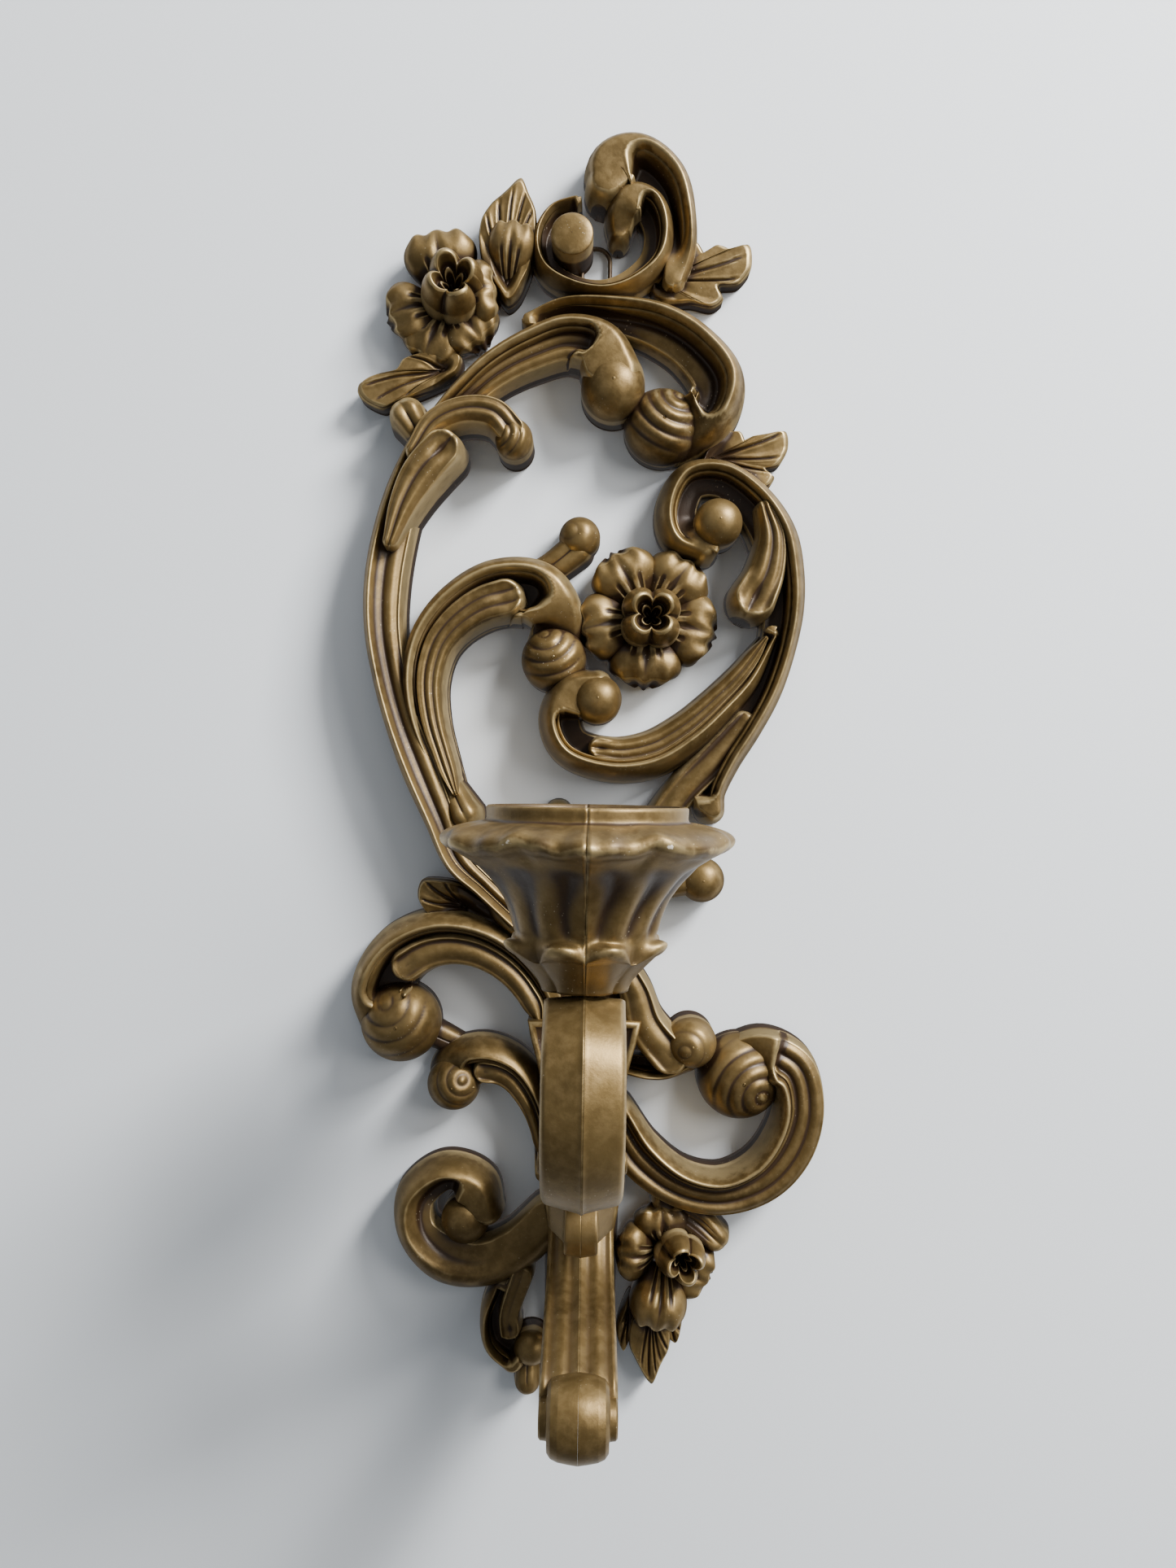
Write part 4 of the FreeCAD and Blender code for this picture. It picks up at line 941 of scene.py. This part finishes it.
def build_arm():
    upper = [(16, -22, 9), (45, -21, 9), (78, -14, 8), (105, -10.5, 8.5), (126, -3, 8.5),
        (135.5, 12, 8.5), (133, 29, 9), (121, 40, 6)]
    tongue = [(16, -34, 9), (38, -37, 10), (54, -46, 9.5)]
    lower = [(14, -58, 8), (34, -76, 8), (60, -85, 8.5), (80, -92, 9)]
    for side in (-1, 1):
        label = "left" if side < 0 else "right"
        node = "arm_half_" + label
        arm_strip("arm_upper", side, upper[::-1], ridge=3.0)
        arm_strip("arm_tongue", side, tongue[::-1], half=11.8, ridge=2.4,
            taper=lambda q: min(1.0, 0.5 + 3.5 * q))
        arm_strip("arm_lower", side, lower, flutes=1.2, ridge=1.2, taper=lambda q: 1.0 + 0.06 * q)
        ball = [(0, 0.01), (13.6, 0.01), (13.2, 3), (12.6, 6.5), (11.6, 8.8), (10, 10), (6.9, 10.1),
            (6.6, 10.4), (6.4, 12.2), (5.7, 12.8), (0, 13.0)]
        turned("arm_ball_" + label, rounded(ball, 0.1), (0, -90, -95), (side, 0, 0), node)
        eye = [(0, 0.5), (6.5, 0.5), (6.5, 12), (5.4, 12.6), (3.8, 12.8), (3.8, 14.2), (3.3, 15.0), (0, 15.2)]
        turned("arm_eye_" + label, rounded(eye, 0.4), (0, -75, -17), (side, 0, 0), node)
        outline = [(0.05, 20), (21.5, 20), (20.4, 14), (18.2, 6), (16.2, -2), (15.5, -8), (15.5, -40),
            (13.8, -52), (12, -62), (0.05, -62)]
        rings = []
        for reach, grow in ((10.1, -0.6), (10.6, 0), (21.2, 0), (22.0, -0.8), (22.0, -2.6), (20.8, -3.4),
                (20.8, -6.0)):
            rings.append([(side * max(px + grow * min(1, px / 10), 0.05), -reach, pz
                + (grow if pz > 0 else -grow) * 0.8) for px, pz in outline])
        points, faces = loft(rings)
        # painted shade: the base by the plate and the sunk front face darken, part glazing, part painted
        # shade; the front corner lightens, part rubbed wear, part painted highlight
        glaze_and_shade = np.repeat([0.4, 0.3, 0.1, 0, 0, 0.9, 0.9], len(outline))
        edge = np.repeat([0, 0, 0.3, 0.8, 0.6, 0, 0], len(outline))
        add_piece("arm_pad_" + label, points, faces, "sconce", node, fields={"glaze_and_shade": glaze_and_shade, "edge": edge})


# ------------------------------------------------------------------ cup

CUP_REACH = 115.0


def build_cup():
    """Half shells: raised ring, rolled leafy lip, fluted trumpet, waist, curled leaf collar, foot."""
    profile = [(30.0, 103.4), (30.5, 103.0), (30.5, 100.6), (30.6, 99.2), (31.6, 98.6), (34.0, 98.2),
        (37.2, 97.6), (40.4, 96.7), (42.9, 95.4), (44.0, 93.8), (43.7, 92.2), (42.0, 90.8), (39.2, 89.6),
        (36.4, 87.7), (33.8, 85.6), (31.4, 83.5), (29.0, 81.1), (27.0, 78.6), (25.1, 75.8), (23.7, 72.8),
        (22.6, 69.6), (21.9, 66.8), (21.5, 64.9), (22.1, 63.8), (23.2, 62.8), (24.2, 61.4), (24.1, 60.0),
        (22.8, 58.8), (21.2, 58.4), (19.4, 57.0), (17.2, 54.8), (15.0, 52.4), (13.4, 50.0), (12.8, 48.1)]
    inside = [(11.6, 49.0), (11.8, 53.4), (15.6, 60), (16.2, 70), (17.4, 76), (20.6, 83), (23.8, 89),
        (27.9, 90.2), (27.9, 96.8), (28.9, 98.2), (28.9, 103.0), (29.1, 103.4)]
    dense, _ = curve_through([(r, h, i) for i, (r, h) in enumerate(profile)], 0.8)
    inner_dense, _ = curve_through([(r, h, 0) for r, h in inside], 2.0)
    for side in (-1, 1):
        label = "left" if side < 0 else "right"
        cols = 97
        phi = np.linspace(0, math.pi, cols)
        rings = []
        glaze_and_shade = []
        edge = []
        for r, h, index in dense:
            at = np.array(index)
            lip = math.exp(-((index - 9.2) / 3.4) ** 2)
            under = float(smooth(12.5, 15.0, at) * smooth(23.0, 20.5, at))
            collar = math.exp(-((index - 25.5) / 2.0) ** 2)
            foot = float(smooth(27.0, 29.0, at))
            turn = phi / math.pi
            leaf = np.abs(np.cos(3.5 * math.pi * turn)) ** 0.7
            small = 0.5 + 0.5 * np.cos(11 * phi + (0.9 if side < 0 else 0.2))
            fold = ridged(turn * 7.0 + 0.13 * math.sin(0.6 * index + side))
            crimp = 0.5 + 0.5 * np.cos(23 * phi + 2.2 * np.sin(3 * phi + side))
            rad = r + lip * (3.0 * (leaf - 0.8) + 1.7 * (small - 0.5) + 0.9 * (crimp - 0.5))
            deep = 0.6 + 0.4 * np.sin(2.0 * phi + (0.4 if side > 0 else 2.6))
            rad = rad + under * (2.2 * deep * (fold - 0.6) + 0.4 * (small - 0.5))
            tips = np.abs(np.sin(3.5 * math.pi * turn + 0.5)) ** 1.3
            rad = rad + collar * (tips - 0.75) * 6.0
            rad = rad + foot * 1.5 * (np.abs(np.sin(3.5 * math.pi * turn + 0.5)) ** 0.6 - 0.6)
            drop = float(smooth(4.0, 9.0, at)) * float(smooth(15.5, 12.0, at))
            zed = h - drop * (2.0 * leaf + 1.0 * small - 1.4) + collar * (tips - 0.55) * 4.6
            zed = zed + lip * (1.9 * (small - 0.5) + 0.8 * (crimp - 0.5))
            seam = 0.55 * np.exp(-(phi / 0.03) ** 2) + 0.4 * np.exp(-((math.pi - phi) / 0.03) ** 2)
            rad = rad + seam
            x = side * (np.sin(phi) * rad + 0.01)
            y = -CUP_REACH - np.cos(phi) * rad
            rings.append(np.column_stack([x, y, zed * np.ones(cols)]))
            # painted shade: under the lip between the folds, round the collar, on the foot and at the ring
            # below the rim, part glazing, part painted shade
            shade = under * (0.75 * (1 - fold) + 0.5 * float(smooth(20.0, 12.0, at)))
            glaze_and_shade.append(shade + collar * 0.5 * (1 - tips) + foot * 0.3
                + 0.8 * math.exp(-((index - 3.6) / 0.7) ** 2) + 0.5 * (1 - small) * lip * crimp)
            # painted highlight: lip crest, top rim, fold ridges, collar tips and seam lighten, part rubbed
            # wear, part painted highlight
            edge.append((0.75 + 0.4 * small) * math.exp(-((index - 9.6) / 1.0) ** 2)
                + 0.7 * math.exp(-((index - 0.4) / 0.5) ** 2) + 0.25 * under * fold + 0.9 * collar * tips
                + seam)
        for r, h, _ in inner_dense:
            x = side * (np.sin(phi) * r + 0.01)
            y = -CUP_REACH - np.cos(phi) * r
            rings.append(np.column_stack([x, y, h * np.ones(cols)]))
            # painted shade inside the cup
            glaze_and_shade.append(np.full(cols, 0.5))
            edge.append(np.zeros(cols))
        rings.append(rings[0])
        points = np.concatenate(rings[:-1])
        rows = len(rings) - 1
        faces = []
        for r in range(rows):
            q = (r + 1) % rows
            for c in range(cols - 1):
                faces.append((r * cols + c, r * cols + c + 1, q * cols + c + 1, q * cols + c))
        faces.append(tuple(r * cols for r in range(rows)))
        faces.append(tuple(r * cols + cols - 1 for r in range(rows))[::-1])
        worn_and_highlit = np.concatenate(edge)
        add_piece("cup_" + label, points, faces, "sconce", "cup_half_" + label,
            fields={"glaze_and_shade": np.concatenate(glaze_and_shade), "edge": worn_and_highlit, "chips": 0.32 + 0.42 * worn_and_highlit})


# ------------------------------------------------------------------ small metal parts


def loop_faces(count, around):
    """Quads of a closed loop of rings."""
    faces = []
    for i in range(count):
        j = (i + 1) % count
        for k in range(around):
            m = (k + 1) % around
            faces.append((i * around + k, i * around + m, j * around + m, j * around + k))
    return faces


def build_hardware():
    rim, seat, wall, radius, deep = 27.4, 90.1, 0.8, 11.25, 24.0
    top = seat + wall
    pan = [(0, top - deep - wall), (radius + wall, top - deep - wall), (radius + wall, seat - 0.6),
        (radius + wall + 1.4, seat), (rim - 1.5, seat), (rim, seat + 1.4), (rim, seat + 6.2),
        (rim - wall, seat + 6.2), (rim - wall, seat + 2.0), (rim - wall - 1.2, top), (radius + 1.4, top),
        (radius, top - 1.2), (radius, top - deep), (0, top - deep)]
    turned("liner_pan", rounded(pan, 0.25), (0, -CUP_REACH, 0), (0, 0, 1), "candle_liner", body="liner",
        mat=LINER)

    def screw(name, node, start, axis, length, radius, head, height):
        profile = [(0, 0.35), (head * 0.25, 0.15), (head * 0.8, 0.2), (head, height * 0.6),
            (head, height), (radius, height)]
        turns = int((length - height - 1.5) / 0.8)
        for k in range(turns):
            at = height + 0.5 + k * 0.8
            profile += [(radius, at), (radius * 0.86, at + 0.4)]
        profile += [(radius * 0.8, length - 1.2), (0.1, length), (0, length)]
        turned(name, profile, start, axis, node, cols=32, mat=STEEL)

    screw("cup_screw", "cup_screw", (0, -CUP_REACH, 55.8), (0, 0, -1), 20, 2.0, 3.8, 2.6)
    screw("arm_screw_upper", "arm_screw_upper", (0, -0.8, 12), (0, -1, 0), 18.5, 2.0, 3.8, 2.6)
    screw("arm_screw_lower", "arm_screw_lower", (0, -0.8, -46), (0, -1, 0), 18.5, 2.0, 3.8, 2.6)
    screw("hanger_screw_left", "hanger_screw_left", (-6.8, -1.1, 296.2), (0, -1, 0), 10.5, 1.0, 2.2, 1.8)
    screw("hanger_screw_right", "hanger_screw_right", (6.8, -1.1, 296.2), (0, -1, 0), 10.5, 1.0, 2.2, 1.8)

    span, bend, pivot, crown = 5.5, 1.6, 302.5, 321.5
    leg = [pivot + bend + (crown - span - pivot - bend) * k / 12 for k in range(1, 12)]

    def arc(x, z, radius, start, turn, steps):
        angles = [start + turn * k / steps for k in range(steps + 1)]
        return [(x + radius * math.cos(a), z + radius * math.sin(a)) for a in angles]

    path = [(-span + bend + (2 * span - 2 * bend) * k / 8, pivot) for k in range(9)]
    path += arc(span - bend, pivot + bend, bend, -math.pi / 2, math.pi / 2, 8)[1:]
    path += [(span, z) for z in leg] + arc(0, crown - span, span, 0, math.pi, 24)
    path += [(-span, z) for z in leg[::-1]]
    path += arc(-span + bend, pivot + bend, bend, math.pi, math.pi / 2, 8)[:-1]
    rings = []
    n = len(path)
    for i in range(n):
        p, q = np.array(path[i - 1]), np.array(path[(i + 1) % n])
        t = (q - p) / np.linalg.norm(q - p)
        normal = np.array([-t[1], t[0]])
        ring = []
        for k in range(16):
            a = 2 * math.pi * k / 16
            off = normal * math.cos(a) * 0.9
            ring.append((path[i][0] + off[0], -1.8 + 0.9 * math.sin(a), path[i][1] + off[1]))
        rings.append(ring)
    add_piece("hanger_wire", np.concatenate(rings), loop_faces(n, 16), "hanger", "hanger_wire", BRONZE)

    def plate_block(name, x, y, z):
        chamfer = 0.15
        rings = []
        for yy, g in ((y[0], chamfer), (y[0] + chamfer, 0), (y[1] - chamfer, 0), (y[1], chamfer)):
            c = 0.6
            corners = []
            for sx, sz in ((1, 1), (-1, 1), (-1, -1), (1, -1)):
                cx = (x[1] - c if sx > 0 else x[0] + c)
                cz = (z[1] - c if sz > 0 else z[0] + c)
                a0 = {(1, 1): 0, (-1, 1): 90, (-1, -1): 180, (1, -1): 270}[(sx, sz)]
                for k in range(5):
                    a = math.radians(a0 + 90 * k / 4)
                    corners.append((cx + (c - g) * math.cos(a), yy, cz + (c - g) * math.sin(a)))
            rings.append(corners)
        points, faces = loft(rings)
        add_piece(name, points, faces, "sconce", "hanger_strap", BRONZE)

    plate_block("hanger_strap", (-10, 10), (-3.98, -3.02), (293, 299.5))
    plate_block("hanger_tab", (-3.2, 3.2), (-3.98, -2.9), (297.5, 302.5))
    tube = [(0.97, -3.2), (1.6, -3.2), (1.6, 3.2), (0.97, 3.2)]
    cols = 32
    rings = []
    for k in range(cols):
        a = 2 * math.pi * k / cols
        rings.append([(h, -1.8 + r * math.sin(a), 302.5 + r * math.cos(a)) for r, h in tube])
    add_piece("hanger_knuckle", np.concatenate(rings), loop_faces(cols, 4), "sconce", "hanger_strap",
        BRONZE)


build_plate()
build_flowers()
relief_glaze_shade_and_highlight()
build_arm()
build_cup()
build_hardware()

# ------------------------------------------------------------------ stage, light and camera


WALL_SKIN = 0.03            # light from behind reaches surfaces this near the wall, in metres


def wall_material():
    """Pale paint, seen only from the room, that lets light reach the back of what hangs on it."""
    mat, tree, paint = new_material("pale_wall")
    paint.inputs["Base Color"].default_value = (0.80, 0.845, 0.895, 1)
    paint.inputs["Roughness"].default_value = 0.9
    output = tree.nodes["Material Output"]
    clear = tree.nodes.new("ShaderNodeBsdfTransparent")
    blend = tree.nodes.new("ShaderNodeMixShader")
    path = tree.nodes.new("ShaderNodeLightPath")
    near = maths(tree, "LESS_THAN", path.outputs["Ray Length"], WALL_SKIN)
    behind = tree.nodes.new("ShaderNodeNewGeometry").outputs["Backfacing"]
    tree.links.new(maths(tree, "MAXIMUM", near, behind), blend.inputs[0])
    tree.links.new(paint.outputs[0], blend.inputs[1])
    tree.links.new(clear.outputs[0], blend.inputs[2])
    tree.links.new(blend.outputs[0], output.inputs["Surface"])
    return mat


wall_mesh = bpy.data.meshes.new("wall")
wall_mesh.from_pydata([(-3, 0.0006, -2.5), (3, 0.0006, -2.5), (3, 0.0006, 2.8), (-3, 0.0006, 2.8)], [],
    [(0, 1, 2, 3)])
wall = bpy.data.objects.new("wall", wall_mesh)
wall_mesh.materials.append(wall_material())
bpy.context.scene.collection.objects.link(wall)


def area_light(name, place, target, size, power, colour=(1, 1, 1)):
    data = bpy.data.lights.new(name, "AREA")
    data.shape = "RECTANGLE"
    data.size, data.size_y = size
    data.energy = power
    data.color = colour
    lamp = bpy.data.objects.new(name, data)
    bpy.context.scene.collection.objects.link(lamp)
    lamp.location = place
    way = np.array(target) - np.array(place)
    lamp.rotation_euler = Vector(way).to_track_quat("-Z", "Y").to_euler()
    return lamp


area_light("key", (0.95, -0.80, 1.10), (0, 0, 0.1), (0.5, 0.5), 64, (1.0, 0.98, 0.95))
area_light("glint", (1.0, -1.15, 0.45), (0, 0, 0.1), (0.45, 0.7), 9, (1.0, 0.97, 0.92))
area_light("fill", (-1.2, -1.6, 0.2), (0, 0, 0.1), (1.6, 1.6), 2.0, (0.90, 0.95, 1.0))
area_light("behind", (0.0, 2.2, 0.2), (0, 0, 0.1), (0.5, 0.5), 60, (1.0, 0.98, 0.95)).visible_glossy = False
area_light("overhead", (0.1, -0.9, 1.7), (0, 0, 0.1), (1.4, 0.9), 7, (1.0, 1.0, 1.0))

world = bpy.data.worlds.new("studio")
world.use_nodes = True
world.node_tree.nodes["Background"].inputs["Color"].default_value = (0.80, 0.83, 0.86, 1)
world.node_tree.nodes["Background"].inputs["Strength"].default_value = 0.27
bpy.context.scene.world = world

camera_data = bpy.data.cameras.new("camera")
camera_data.sensor_fit = "AUTO"
camera_data.sensor_width = 36
camera_data.lens = 28.0
camera = bpy.data.objects.new("camera", camera_data)
camera.location = (0, -0.484, 0.110)
camera.rotation_euler = (math.radians(90), math.radians(-0.9), 0)
bpy.context.scene.collection.objects.link(camera)
bpy.context.scene.camera = camera
